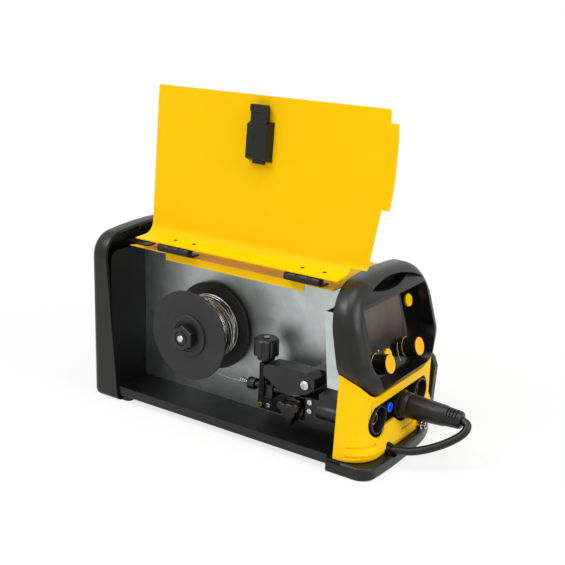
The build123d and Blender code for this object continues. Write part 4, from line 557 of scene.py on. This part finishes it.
def metal_finishes(colours):
    """Galvanised sheet, plated and turned metals, and the wire."""
    # Galvanised sheet: a soft metallic grey with a faint zinc spangle in cells about 9 mm wide
    tree, coords = surface("galvanised_sheet", {"Metallic": 1.0})
    spangle = add(tree, "ShaderNodeTexVoronoi", {"Vector": coords, "Scale": per_mm(9), "Randomness": 1.0})
    tone = add(tree, "ShaderNodeSeparateColor", {"Color": spangle.outputs["Color"]})
    light, dark = map(linear, shades(colours, "zinc"))
    add(tree, "ShaderNodeMix", {"Factor": tone.outputs["Red"], COLOUR_A: light, COLOUR_B: dark},
        BASE_COLOUR, data_type="RGBA")
    add(tree, "ShaderNodeMapRange", {"Value": tone.outputs["Green"], "To Min": 0.40, "To Max": 0.45},
        {"Result": "Roughness"})
    grain(tree, coords, size_mm=5, height_mm=0.02, strength=0.06)

    # Plated and turned metals: fine tool marks break up the highlight
    for name, (pair, rough, mark) in METALS.items():
        tree, coords = surface(name, {"Metallic": 1.0})
        mottled(tree, coords, pair, patch_mm=6, rough=rough, rough_mm=3)
        grain(tree, coords, size_mm=mark, height_mm=0.02, strength=0.2)

    # Drawn steel wire: grey with bright streaks where the die has polished it
    tree, coords = surface("drawn_steel_wire", {"Metallic": 0.9})
    mottled(tree, coords, shades(colours, "wire"), patch_mm=7, rough=(0.14, 0.28), rough_mm=2)

    # Inner layers of wire in painted shade: dark bands of turns, standing for the shade of the layer above, with
    # lighter crests as painted highlight, two pi times 0.9 mm wide
    tree, coords = surface("wire_layers_painted_shade", {"Metallic": 0.8, "Roughness": 0.45})
    turns = add(tree, "ShaderNodeTexWave", {
        "Vector": coords, "Scale": per_mm(0.9) / 20, "Distortion": 2.0, "Detail": 2.0, "Detail Scale": 1.0},
        bands_direction="Y")
    painted_gap, painted_crest = map(linear, PAINTED_SHADE_LAYERS)
    add(tree, "ShaderNodeMix", {"Factor": turns.outputs["Fac"], COLOUR_A: painted_gap, COLOUR_B: painted_crest},
        BASE_COLOUR, data_type="RGBA")


def fitting_finishes(colours):
    """Rubber of the cable and the push fitting."""
    # Rubber: black with a dusty bloom
    tree, coords = surface("black_rubber", {"IOR": 1.52, "Specular IOR Level": 0.32})
    mottled(tree, coords, shades(colours, "rubber"), patch_mm=12, rough=(0.28, 0.40), rough_mm=5)
    grain(tree, coords, size_mm=0.7, height_mm=0.03, strength=0.25)

    # Push fitting: a blue nylon release ring on a bare brass body
    tree, coords = surface("blue_nylon", {"IOR": 1.53})
    shade = mottled(tree, coords, shades(colours, "blue"), patch_mm=5, rough=(0.22, 0.3), rough_mm=3)
    along = add(tree, "ShaderNodeSeparateXYZ", {"Vector": coords})
    body = add(tree, "ShaderNodeMath", {0: along.outputs["X"], 1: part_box("gas_fitting")[1].x - RING_DEPTH * MM},
               {0: "Metallic"}, operation="LESS_THAN")
    add(tree, "ShaderNodeMix", {"Factor": body.outputs[0], COLOUR_A: shade, COLOUR_B: linear(FITTING_BRASS)},
        BASE_COLOUR, data_type="RGBA")


SLOT_FINISH = {
    "yellow_paint": "yellow_powder_coat", "yellow_plastic": "yellow_moulded_abs",
    "black_plastic": "black_moulded_abs", "black_paint": "black_powder_coat",
    "galvanised_steel": "galvanised_sheet", "bright_steel": "zinc_plated_steel", "brass": "turned_brass",
    "blue_plastic": "blue_nylon", "rubber": "black_rubber", "spool_plastic": "spool_polystyrene",
    "welding_wire": "drawn_steel_wire", "display_glass": "tinted_display_painted_shade",
    "board": "solder_masked_board", "aluminium": "cast_aluminium", "chrome": "chromed_brass",
    "nickel": "tool_steel",
}
# Solids whose finish differs from that of their slot
NODE_FINISH = {
    "left_knob_cap": "orange_cap_abs", "right_knob_cap": "orange_cap_abs",
    "control_fascia": "gloss_acrylic_fascia", "front_frame": "black_moulded_abs_painted_recess_shade",
    "tension_rod": "black_oxide_steel",
    **dict.fromkeys(("feeder_base", "pressure_arm", "outlet_adaptor", "inlet_guide", "roll_knob", "tension_knob"),
                    "glass_filled_nylon"),
}
# Mouldings whose edges are rounded, by a width in mm
SOFT_EDGES = {
    "pressure_arm": 0.7, "feeder_base": 0.5, "outlet_adaptor": 0.6, "latch_case": 0.8, "latch_tongue": 0.6,
    "roll_knob": 0.5, "tension_knob": 0.5, "inlet_guide": 0.4, "front_sockets": 0.5, "lower_panel": 0.5,
    "rear_cover": 0.6, "front_frame": 0.6,
}


class WelderColours(bpy.types.PropertyGroup):
    """Colours of the machine as sRGB hex codes."""

    yellow: StringProperty(name="Yellow", description="Powder coat and yellow mouldings", default="#fcc900")
    yellow_shade: StringProperty(name="Yellow shade", description="Darker drift", default="#f8c200")
    cap: StringProperty(name="Cap", description="Caps of the control knobs", default="#fbb800")
    cap_shade: StringProperty(name="Cap shade", description="Darker drift", default="#f6b000")
    black: StringProperty(name="Black", description="Moulded shell", default="#141210")
    black_shade: StringProperty(name="Black shade", description="Darker drift", default="#100e0d")
    black_coat: StringProperty(name="Black coat", description="Powder coated chassis", default="#111010")
    black_coat_shade: StringProperty(name="Black coat shade", description="Darker drift", default="#0d0c0c")
    spool: StringProperty(name="Spool", description="Wire spool", default="#262424")
    spool_shade: StringProperty(name="Spool shade", description="Darker drift", default="#211f1f")
    nylon: StringProperty(name="Feeder black", description="Mouldings of the wire drive", default="#171616")
    nylon_shade: StringProperty(name="Feeder shade", description="Darker drift", default="#111010")
    # The display colours are the lit top and the shaded foot of the display's painted gradient of light
    display: StringProperty(name="Display", description="Tinted display cover", default="#74685a")
    display_shade: StringProperty(name="Display shade", description="Foot of the display", default="#211913")
    zinc: StringProperty(name="Zinc", description="Galvanised sheet", default="#c6cdcc")
    zinc_shade: StringProperty(name="Zinc shade", description="Darker spangle", default="#bac2c1")
    wire: StringProperty(name="Wire", description="Welding wire", default="#f2f1ee")
    wire_shade: StringProperty(name="Wire shade", description="Dull wire", default="#6c6a67")
    rubber: StringProperty(name="Rubber", description="Cable and plug", default="#151413")
    rubber_shade: StringProperty(name="Rubber shade", description="Darker drift", default="#0f0e0e")
    blue: StringProperty(name="Blue", description="Ring of the push fitting", default="#145cff")
    blue_shade: StringProperty(name="Blue shade", description="Darker drift", default="#1050e6")


class WelderSizes(bpy.types.PropertyGroup):
    """Sizes of the fine pieces."""

    cable_diameter: FloatProperty(
        name="Cable diameter", description="Sheath of the polarity cable", default=0.0085, unit="LENGTH")
    cable_length: FloatProperty(
        name="Cable length", description="Ledge to the floor of the plug's boot", default=0.1041, unit="LENGTH")
    winding_radius: FloatProperty(
        name="Winding radius", description="Middle of the outer layer of wire", default=0.0359, unit="LENGTH")
    winding_wire: FloatProperty(
        name="Winding wire", description="Drawn radius of the wire on the spool", default=0.0005, unit="LENGTH")
    winding_turns: IntProperty(name="Winding turns", description="Turns of the even layer", default=26, min=8, max=40)
    scale_radius: FloatProperty(
        name="Dial scale radius", description="Printed arc round a control knob", default=0.0110, unit="LENGTH")
    floor_size: FloatProperty(name="Floor", description="Side of the studio floor", default=14.0, unit="LENGTH")


class WELDER_OT_finishes(bpy.types.Operator):
    """Give every solid its finish and soften the edges of the mouldings"""

    bl_idname = "welder.finishes"
    bl_label = "Finishes"

    def execute(self, context):
        for make in (shell_finishes, panel_finishes, metal_finishes, fitting_finishes):
            make(context.scene.welder_colours)
        slots = {row["node"]: row["material_slot"] for row in frame["record"]["subparts"]}
        for name, solid in frame["nodes"].items():
            finish = NODE_FINISH.get(name, SLOT_FINISH[slots[name]])
            solid.data.materials.clear()
            solid.data.materials.append(bpy.data.materials[finish])
        for name, width in SOFT_EDGES.items():
            solid = frame["nodes"][name]
            modify(solid, "WELD", merge_threshold=MERGE)
            modify(solid, "BEVEL", width=width * MM, segments=2, **SOFT)
        return {"FINISHED"}


class WELDER_OT_polarity_cable(bpy.types.Operator):
    """Polarity cable on its route from the ledge to the plug, with the plug on its end"""

    bl_idname = "welder.polarity_cable"
    bl_label = "Polarity cable and plug"

    def execute(self, context):
        sizes = context.scene.welder_sizes
        plug = self.plug()
        route = [at(*point) for point in CABLE_ROUTE]
        cable = round_line("cable_sheath", route, sizes.cable_diameter / 2, sides=7, kind="NURBS")
        cable.data.resolution_u = 24
        line = cable.data.splines[0]
        line.order_u = 3
        line.use_endpoint_u = True
        finished(cable, "black_rubber", "machine", "rubber", "polarity_cable")
        return {"FINISHED"}

    def plug(self):
        """The plug's sleeve: collar, taper and a strain relief with slots from two sides."""
        plug = turned("plug_body", PLUG_RINGS, 64)
        for side, start in RELIEF_SIDES:
            for index in range(RELIEF_SLOTS):
                slot = box("slot", RELIEF_SLOT, (RELIEF_REACH, 0, start + RELIEF_STEP * index))
                cut(plug, place(slot, Matrix.Rotation(math.radians(side), 4, "Z")))
        seat = facing(at(SOCKET_X, PLUG_Y, SOCKET_Z), TOWARDS_FRONT)
        return fitted(plug, seat, "black_rubber", "machine", "rubber", "polarity_plug", degrees=40)


class WELDER_OT_wire_winding(bpy.types.Operator):
    """Wire on the spool: an even layer, crossing turns over it and a core, with the even layer and the core dark in
    painted shade
    """

    bl_idname = "welder.wire_winding"
    bl_label = "Wire winding"

    def execute(self, context):
        sizes = context.scene.welder_sizes
        draw = random.Random(WINDING_SEED)
        radius, wire = sizes.winding_radius, sizes.winding_wire
        layers = ((sizes.winding_turns, *EVEN_LAYER), *CROSSING_LAYERS)
        even, *crossing = [wire_along("turns", self.course(draw, radius, *layer), wire, sides=1) for layer in layers]
        winding = joined("wire_turns", crossing)
        finished(winding, "drawn_steel_wire", "spool", "welding_wire", "wire_winding")
        # The even layer and the core take the inner layers' painted shade
        layer = joined("wire_layer_painted_shade", [even])
        finished(layer, "wire_layers_painted_shade", "spool", "welding_wire")

        outside = (radius - wire) / MM + CORE_LAP
        near, far = CORE_LAP, SPOOL_FAR_Y - SPOOL_NEAR_Y - CORE_LAP
        core = turned("wire_core_painted_shade", ((CORE_BORE, near), (outside, near), (outside, far), (CORE_BORE, far)))
        seat = facing(at(SPOOL_X, SPOOL_NEAR_Y, SPOOL_Z), (0, 1, 0))
        fitted(core, seat, "wire_layers_painted_shade", "spool", "welding_wire")
        return {"FINISHED"}

    def course(self, draw, radius, turns, phase, lift, wander, way):
        """Points of one layer that runs along the spool and wanders from its even course."""
        near, far = SPOOL_NEAR_Y + WINDING_GAP, SPOOL_FAR_Y - WINDING_GAP
        centre = at(SPOOL_X, 0, SPOOL_Z)
        waves = [(draw.uniform(*WAVE_RATES), draw.uniform(*WAVE_STARTS)) for _ in range(WAVES)]
        steps = turns * WINDING_STEPS
        points = []
        for step in range(steps + 1):
            share = step / steps
            angle = phase + 2 * math.pi * turns * share
            drift = sum(math.sin(angle * rate + start) for rate, start in waves) * wander / WAVES
            y = near + (far - near) * (share if way > 0 else 1 - share) + drift
            y = min(max(y, near), far)
            reach = radius + (lift + BULGE * math.sin(angle * BULGE_RATE + phase)) * MM
            points.append((centre.x + reach * math.cos(angle), y * MM, centre.z + reach * math.sin(angle)))
        return points


class WELDER_OT_inlet_spring(bpy.types.Operator):
    """Flared spring that leads the wire into the inlet guide"""

    bl_idname = "welder.inlet_spring"
    bl_label = "Inlet spring"

    def execute(self, context):
        points = []
        steps = SPRING_TURNS * SPRING_STEPS
        first, last = SPRING_COIL
        for step in range(steps + 1):
            share = step / steps
            angle = 2 * math.pi * SPRING_TURNS * share
            spread = first + (last - first) * share
            points.append(at(GUIDE_X + SPRING_START - SPRING_LENGTH * share, WIRE_Y + spread * math.cos(angle),
                             WIRE_Z + spread * math.sin(angle)))
        spring = wire_along("inlet_spring", points, SPRING_WIRE * MM, sides=2)
        finished(spring, "zinc_plated_steel", "machine", "bright_steel")
        return {"FINISHED"}


class WELDER_OT_screws(bpy.types.Operator):
    """Socket heads of the wire drive's screws, the earth screw among them"""

    bl_idname = "welder.screws"
    bl_label = "Screws"

    def execute(self, context):
        head = cut(turned("head", SCREW_RINGS, 32), rod("socket", *SCREW_SOCKET, 6))
        places = [facing(at(x, PARTITION_Y - reach, z), TOWARDS_VIEWER) for x, z, reach in SCREWS]
        earth, *bright = set_out(head, places)
        screws = smooth(joined("feeder_screw_heads", bright))
        finished(screws, "zinc_plated_steel", "machine", "bright_steel", "feeder_screws")
        earth = smooth(joined("earth_screw_head", [earth]))
        finished(earth, "yellow_passivated_zinc", "machine", "bright_steel")
        return {"FINISHED"}


class WELDER_OT_pivot_head(bpy.types.Operator):
    """Pan head of the pressure arm's pivot with its cross slot"""

    bl_idname = "welder.pivot_head"
    bl_label = "Pivot head"

    def execute(self, context):
        low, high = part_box("arm_pivot_pin")
        middle = (low + high) / 2
        head = turned("pivot_screw_head", PIVOT_RINGS, 40)
        for size in PIVOT_SLOTS:
            cut(head, box("slot", size, (0, 0, PIVOT_SLOT_Z)))
        seat = facing(Vector((middle.x, low.y + PIVOT_SEAT * MM, middle.z)), TOWARDS_VIEWER)
        fitted(head, seat, "zinc_plated_steel", "machine", "bright_steel", "arm_pivot_pin")
        return {"FINISHED"}


class WELDER_OT_spool_nut(bpy.types.Operator):
    """Hexagon nut that holds the spool, the end of its bolt and the raised ring round the spool's hub"""

    bl_idname = "welder.spool_nut"
    bl_label = "Spool nut and hub ring"

    def execute(self, context):
        seat = facing(at(SPOOL_X, NUT_Y, SPOOL_Z), TOWARDS_VIEWER)
        nut = turned("spool_nut", NUT_RINGS, 6)
        cut(nut, cut(rod("groove", *NUT_GROOVE, 48), rod("land", *NUT_LAND, 48)))
        cut(nut, rod("bore", *NUT_BORE, 40))
        fitted(nut, seat, "glass_filled_nylon", "spool_nut", "black_plastic", "hub_nut", degrees=30)

        end = cut(turned("spindle_bolt_end", BOLT_END_RINGS, 32), rod("shank", *BOLT_SHANK, 32))
        fitted(end, seat, "zinc_plated_steel", "machine", "bright_steel")

        ring = cut(turned("hub_ring", HUB_RINGS, 96), rod("inside", *HUB_BORE, 96))
        flange = facing(at(SPOOL_X, FLANGE_Y, SPOOL_Z), TOWARDS_VIEWER)
        fitted(ring, flange, "spool_polystyrene", "spool", "spool_plastic")
        return {"FINISHED"}


class WELDER_OT_adaptor_tube(bpy.types.Operator):
    """Rounded tube on the face of the outlet adaptor, where the torch's liner seats"""

    bl_idname = "welder.adaptor_tube"
    bl_label = "Adaptor tube"

    def execute(self, context):
        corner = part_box("outlet_adaptor")[0]
        end = Vector((corner.x + TUBE_IN_X * MM, corner.y + TUBE_IN_Y * MM, TUBE_Z * MM))
        tube = turned("adaptor_tube", TUBE_RINGS, 64)
        fitted(tube, facing(end, TOWARDS_FRONT), "glass_filled_nylon", "machine", "black_plastic")
        return {"FINISHED"}


class WELDER_OT_strip_tail(bpy.types.Operator):
    """Rear end of the hinge strip, a flat of the cover's sheet that tapers to the rear"""

    bl_idname = "welder.strip_tail"
    bl_label = "Strip tail"

    def execute(self, context):
        length, width = STRIP_REAR_X - STRIP_TAIL_X, STRIP_BACK_Y - STRIP_EDGE_Y
        centre = ((STRIP_REAR_X + STRIP_TAIL_X) / 2, (STRIP_EDGE_Y + STRIP_BACK_Y) / 2, STRIP_TOP_Z - SHEET / 2)
        tail = box("strip_tail", (length, width, SHEET), centre)
        trimmed(tail, (STRIP_TAIL_X, STRIP_EDGE_Y, 0), (-width, length, 0))
        finished(place(tail, DRAWING), "yellow_powder_coat", "machine", "yellow_paint")
        return {"FINISHED"}


class WELDER_OT_rear_tongue(bpy.types.Operator):
    """Black plate on the rear end of the hinge strip: partly the rear cover's tongue, partly painted shade of the gap
    under the door's flange
    """

    bl_idname = "welder.rear_tongue"
    bl_label = "Rear tongue"

    def execute(self, context):
        (rear, front), (near, far) = TONGUE_X, TONGUE_Y
        centre = ((rear + front) / 2, (near + far) / 2, STRIP_TOP_Z + TONGUE_HEIGHT / 2)
        tongue = box("rear_tongue_gap_shade", (front - rear, far - near, TONGUE_HEIGHT), centre)
        along, across = TONGUE_CORNER
        trimmed(tongue, (front - along, near, 0), (across, -along, 0))
        apply_modifier(tongue, "BEVEL", width=0.5 * MM, segments=3, **SOFT)
        fitted(tongue, DRAWING, "black_moulded_abs", "machine", "black_plastic")
        return {"FINISHED"}


class WELDER_OT_door_sheet(bpy.types.Operator):
    """Door sheet with the bowed front edge of its tab and rounded upper corners"""

    bl_idname = "welder.door_sheet"
    bl_label = "Door sheet"

    def execute(self, context):
        sheet = node_copy("door_sheet", "door_panel")
        beyond = place(box("beyond", BEYOND_TAB_SIZE, BEYOND_TAB), DRAWING)
        disc = rod("disc", TAB_ARC_RADIUS, -DOOR_TOOL, DOOR_TOOL, 720)
        cut(sheet, cut(beyond, place(disc, facing(at(*TAB_ARC), TOWARDS_VIEWER))))
        for x, z, side in DOOR_CORNERS:
            self.round_corner(sheet, x, z, side)
        finished(smooth(sheet, degrees=30), "yellow_powder_coat", "door", "yellow_paint", "door_panel")
        return {"FINISHED"}

    def round_corner(self, sheet, x, z, side):
        """Round an upper corner of the sheet, on its rear or front side."""
        reach = CORNER_RADIUS + 1
        corner = box("corner", (reach, CORNER_DEPTH, reach), (side * reach / 2, 0, reach / 2))
        disc = rod("disc", CORNER_RADIUS, -CORNER_TOOL, CORNER_TOOL, 64)
        cut(corner, place(disc, facing(Vector((0, 0, 0)), TOWARDS_VIEWER)))
        middle = at(x - side * CORNER_RADIUS, DOOR_TOP_Y, z - CORNER_RADIUS)
        cut(sheet, place(corner, Matrix.Translation(middle)))


class WELDER_OT_scoop_band(bpy.types.Operator):
    """Leaning band along the foot of the finger scoop, lowest in the middle and up to the arch at both ends"""

    bl_idname = "welder.scoop_band"
    bl_label = "Scoop band"

    def execute(self, context):
        foot = at(RIM_X - (SCOOP_EDGE_Z - LEAN_Z) * math.tan(math.radians(RIM_LEAN)), 0, SCOOP_EDGE_Z)
        band = box("scoop_band", BAND_SIZE, BAND_CENTRE)
        place(band, Matrix.Translation(foot) @ Matrix.Rotation(-math.radians(RIM_LEAN + SCOOP_LEAN), 4, "Y"))
        cut(band, place(box("below", BELOW_SIZE, BELOW_CENTRE), Matrix.Translation(foot)))
        arch_axis = Vector((foot.x, 0, (SCOOP_TOP_Z - SCOOP_ARCH_RADIUS) * MM))
        arch = place(rod("arch", SCOOP_ARCH_RADIUS, -SCOOP_TOOL, SCOOP_TOOL, 256), facing(arch_axis, TOWARDS_FRONT))
        cut(band, arch, "INTERSECT")
        smile_axis = Vector((foot.x, 0, (SCOOP_SMILE_Z + SCOOP_SMILE_RADIUS) * MM))
        smile = rod("smile", SCOOP_SMILE_RADIUS, -SCOOP_TOOL, SCOOP_TOOL, 256)
        cut(band, place(smile, facing(smile_axis, TOWARDS_FRONT)))
        apply_modifier(band, "BEVEL", width=1.2 * MM, segments=4, **SOFT)
        finished(smooth(band, degrees=30), "black_moulded_abs", "machine", "black_plastic")
        return {"FINISHED"}


class WELDER_OT_hinges(bpy.types.Operator):
    """Hinge leaves and their pins, drawn in along the hinge line to the length that shows"""

    bl_idname = "welder.hinges"
    bl_label = "Hinges"

    def execute(self, context):
        for name, node, finish, body, slot in (
            ("hinge_fixed_leaves", "hinge_base_leaves", "black_powder_coat", "machine", "black_paint"),
            ("hinge_moving_leaves", "hinge_door_leaves", "black_powder_coat", "door", "black_paint"),
            ("hinge_rods", "hinge_pins", "black_oxide_steel", "machine", "bright_steel"),
        ):
            piece = node_copy(name, node)
            for x in HINGE_X:
                middle = at(x, 0, 0)
                pick(piece, lambda spot, middle=middle: abs(spot.x - middle.x) < HINGE_REACH * MM)
                bpy.ops.object.mode_set(mode="EDIT")
                bpy.ops.transform.resize(value=(HINGE_SHARE, 1, 1), center_override=middle)
                bpy.ops.transform.translate(value=(HINGE_SHIFT * MM, 0, 0))
                bpy.ops.object.mode_set(mode="OBJECT")
            apply_modifier(piece, "BEVEL", width=0.4 * MM, segments=2, **SOFT)
            finished(smooth(piece), finish, body, slot, node)
        return {"FINISHED"}


class WELDER_OT_hinge_rivets(bpy.types.Operator):
    """Black rivets in the four holes of the door's hinge flange"""

    bl_idname = "welder.hinge_rivets"
    bl_label = "Hinge rivets"

    def execute(self, context):
        places = [facing(at(x, RIVET_Y, RIVET_Z), RIVET_AXIS) for x in RIVET_X]
        rivets = joined("hinge_rivets", set_out(turned("rivet", RIVET_RINGS, 24), places))
        finished(smooth(rivets), "black_powder_coat", "door", "black_paint")
        return {"FINISHED"}


class WELDER_OT_tension_end(bpy.types.Operator):
    """Bright end of the tension rod in the top of its knob"""

    bl_idname = "welder.tension_end"
    bl_label = "Tension rod end"

    def execute(self, context):
        low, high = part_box("tension_rod")
        middle = (low + high) / 2
        end = turned("tension_rod_end", ROD_END_RINGS, 32)
        fitted(end, Matrix.Translation((middle.x, middle.y, high.z)), "zinc_plated_steel", "tension", "bright_steel")
        return {"FINISHED"}


class WELDER_OT_dial_scales(bpy.types.Operator):
    """Printed arcs and marks round the two control knobs"""

    bl_idname = "welder.dial_scales"
    bl_label = "Dial scales"

    def execute(self, context):
        radius = context.scene.welder_sizes.scale_radius / MM
        left = on_fascia(-KNOB_SPACING, KNOB_DROP, INK_LIFT)
        right = on_fascia(KNOB_SPACING, KNOB_DROP, INK_LIFT)
        pointer = rod("mark", POINTER_SIZE, 0, INK_THICKNESS, 3)
        turn = Matrix.Rotation(math.radians(POINTER_TURN), 4, "Z")
        place(pointer, turn @ Matrix.Translation((POINTER_OUT * MM, 0, 0)))
        dot = rod("dot", DOT_SIZE, 0, INK_THICKNESS, 16)
        end = math.radians(DOT_TURN)
        place(dot, Matrix.Translation(Vector((math.cos(end), math.sin(end), 0)) * OUTER_SCALE * MM))
        scales = joined("dial_scales", [
            place(self.arc(radius + INK_WIDTH, *LEFT_ARC), left), place(pointer, left),
            place(self.arc(radius, *RIGHT_ARC), right), place(self.arc(OUTER_SCALE, *OUTER_ARC), right),
            place(dot, right),
        ])
        finished(scales, "printed_scale_ink", "machine", "yellow_plastic")
        return {"FINISHED"}

    def arc(self, radius, start, sweep):
        """A flat arc of ink, spun from one short edge; angles in degrees."""
        deselect()
        bpy.ops.mesh.primitive_plane_add(size=1, location=(radius * MM, 0, INK_THICKNESS / 2 * MM))
        bpy.context.object.scale = (INK_WIDTH * MM, INK_STEP * MM, 1)
        strip = named("arc")
        pick(strip, lambda spot: spot.y > 0)
        bpy.ops.object.mode_set(mode="EDIT")
        bpy.ops.mesh.spin(steps=60, angle=-math.radians(sweep), center=(0, 0, 0), axis=(0, 0, 1))
        bpy.ops.mesh.select_all(action="SELECT")
        bpy.ops.mesh.normals_make_consistent(inside=False)
        bpy.ops.object.mode_set(mode="OBJECT")
        apply_modifier(strip, "SOLIDIFY", thickness=INK_THICKNESS * MM, offset=0)
        return place(strip, Matrix.Rotation(math.radians(start), 4, "Z"))


class WELDER_OT_stage(bpy.types.Operator):
    """Studio floor, soft lights, white surroundings and the camera"""

    bl_idname = "welder.stage"
    bl_label = "Stage"

    def execute(self, context):
        scene = context.scene
        self.floor(scene.welder_sizes.floor_size)
        self.world(scene)
        for name, spot, aim, size, power in LIGHTS:
            lamp = bpy.data.lights.new(name, "AREA")
            lamp.size = size
            lamp.energy = power
            lamp_object = bpy.data.objects.new(name, lamp)
            scene.collection.objects.link(lamp_object)
            lamp_object.matrix_world = facing(Vector(spot), Vector(spot) - Vector(aim))
        self.camera(scene)
        scene.view_settings.view_transform = "Standard"
        return {"FINISHED"}

    def seen(self, tree):
        """One for light that goes to the camera, into a mirror or through glass, else nothing."""
        paths = add(tree, "ShaderNodeLightPath").outputs
        eye = add(tree, "ShaderNodeMath", {0: paths["Is Camera Ray"], 1: paths["Is Glossy Ray"]}, operation="MAXIMUM")
        return add(tree, "ShaderNodeMath", {0: eye.outputs[0], 1: paths["Is Transmission Ray"]},
                   operation="MAXIMUM").outputs[0]

    def floor(self, size):
        """A pale floor that is white to the camera and to mirrors and keeps a soft shadow."""
        deselect()
        bpy.ops.mesh.primitive_plane_add(size=size, location=(0, 0, 0))
        floor = bpy.context.object
        floor.name = "studio_floor"
        bpy.ops.object.mode_set(mode="EDIT")
        bpy.ops.mesh.subdivide(number_cuts=3)
        bpy.ops.object.mode_set(mode="OBJECT")
        material = bpy.data.materials.new("pale_studio_floor")
        material.use_nodes = True
        tree = material.node_tree
        tree.nodes.clear()
        coords = add(tree, "ShaderNodeTexCoord").outputs["Object"]
        reach = add(tree, "ShaderNodeVectorMath", {0: coords}, operation="LENGTH")
        fade = add(tree, "ShaderNodeMapRange", {
            "Value": reach.outputs["Value"], "From Min": FLOOR_RING[0], "From Max": FLOOR_RING[1],
            "To Min": FLOOR_SHARE, "To Max": 1.0})
        share = add(tree, "ShaderNodeMath", {0: self.seen(tree), 1: fade.outputs["Result"]}, operation="MULTIPLY")
        matt = add(tree, "ShaderNodeBsdfDiffuse", {"Color": linear(MATT_FLOOR)})
        white = add(tree, "ShaderNodeEmission", {"Color": linear(WHITE), "Strength": 1.0})
        mixed = add(tree, "ShaderNodeMixShader", {0: share.outputs[0], 1: matt.outputs[0], 2: white.outputs[0]})
        add(tree, "ShaderNodeOutputMaterial", {"Surface": mixed.outputs[0]})
        floor.data.materials.append(material)

    def world(self, scene):
        """White to the camera and in mirrors, a plain soft light elsewhere."""
        world = bpy.data.worlds.new("studio")
        scene.world = world
        world.use_nodes = True
        tree = world.node_tree
        tree.nodes.clear()
        soft = add(tree, "ShaderNodeBackground", {"Color": linear(WHITE), "Strength": SOFT_LIGHT})
        white = add(tree, "ShaderNodeBackground", {"Color": linear(WHITE), "Strength": 1.0})
        mixed = add(tree, "ShaderNodeMixShader", {0: self.seen(tree), 1: soft.outputs[0], 2: white.outputs[0]})
        add(tree, "ShaderNodeOutputWorld", {"Surface": mixed.outputs[0]})

    def camera(self, scene):
        """Camera at the photograph's place, aim and roll."""
        lens = bpy.data.cameras.new("photo_camera")
        lens.lens = FOCAL_LENGTH
        lens.sensor_width = SENSOR
        lens.clip_end = 60
        camera = bpy.data.objects.new("photo_camera", lens)
        scene.collection.objects.link(camera)
        azimuth, elevation, roll = (math.radians(angle) for angle in CAMERA_TURN)
        back = Vector((math.sin(azimuth) * math.cos(elevation), -math.cos(azimuth) * math.cos(elevation),
                       math.sin(elevation)))
        camera.matrix_world = facing(at(*CAMERA_PLACE), back) @ Matrix.Rotation(roll, 4, "Z")
        scene.camera = camera


class WELDER_PT_pieces(bpy.types.Panel):
    """Lists the welder's operators, sizes and colours"""

    bl_label = "Welder"
    bl_idname = "WELDER_PT_pieces"
    bl_space_type = "VIEW_3D"
    bl_region_type = "UI"
    bl_category = "Welder"

    def draw(self, context):
        for operator in OPERATORS:
            self.layout.operator(operator.bl_idname)
        for group in (context.scene.welder_sizes, context.scene.welder_colours):
            for name in group.__annotations__:
                self.layout.prop(group, name)


GROUPS = (WelderColours, WelderSizes)
OPERATORS = (
    WELDER_OT_stage, WELDER_OT_finishes, WELDER_OT_polarity_cable, WELDER_OT_wire_winding, WELDER_OT_inlet_spring,
    WELDER_OT_screws, WELDER_OT_pivot_head, WELDER_OT_spool_nut, WELDER_OT_adaptor_tube, WELDER_OT_strip_tail,
    WELDER_OT_rear_tongue, WELDER_OT_door_sheet, WELDER_OT_scoop_band, WELDER_OT_hinges, WELDER_OT_hinge_rivets,
    WELDER_OT_tension_end, WELDER_OT_dial_scales,
)


def register():
    """Register the property groups, operators and panel."""
    for kind in (*GROUPS, *OPERATORS, WELDER_PT_pieces):
        bpy.utils.register_class(kind)
    bpy.types.Scene.welder_colours = PointerProperty(type=WelderColours)
    bpy.types.Scene.welder_sizes = PointerProperty(type=WelderSizes)


def unregister():
    """Undo register."""
    del bpy.types.Scene.welder_colours
    del bpy.types.Scene.welder_sizes
    for kind in reversed((*GROUPS, *OPERATORS, WELDER_PT_pieces)):
        bpy.utils.unregister_class(kind)


def main():
    """Build every piece in order."""
    register()
    for operator in OPERATORS:
        group, name = operator.bl_idname.split(".")
        getattr(getattr(bpy.ops, group), name)()


if __name__ == "__main__":
    main()
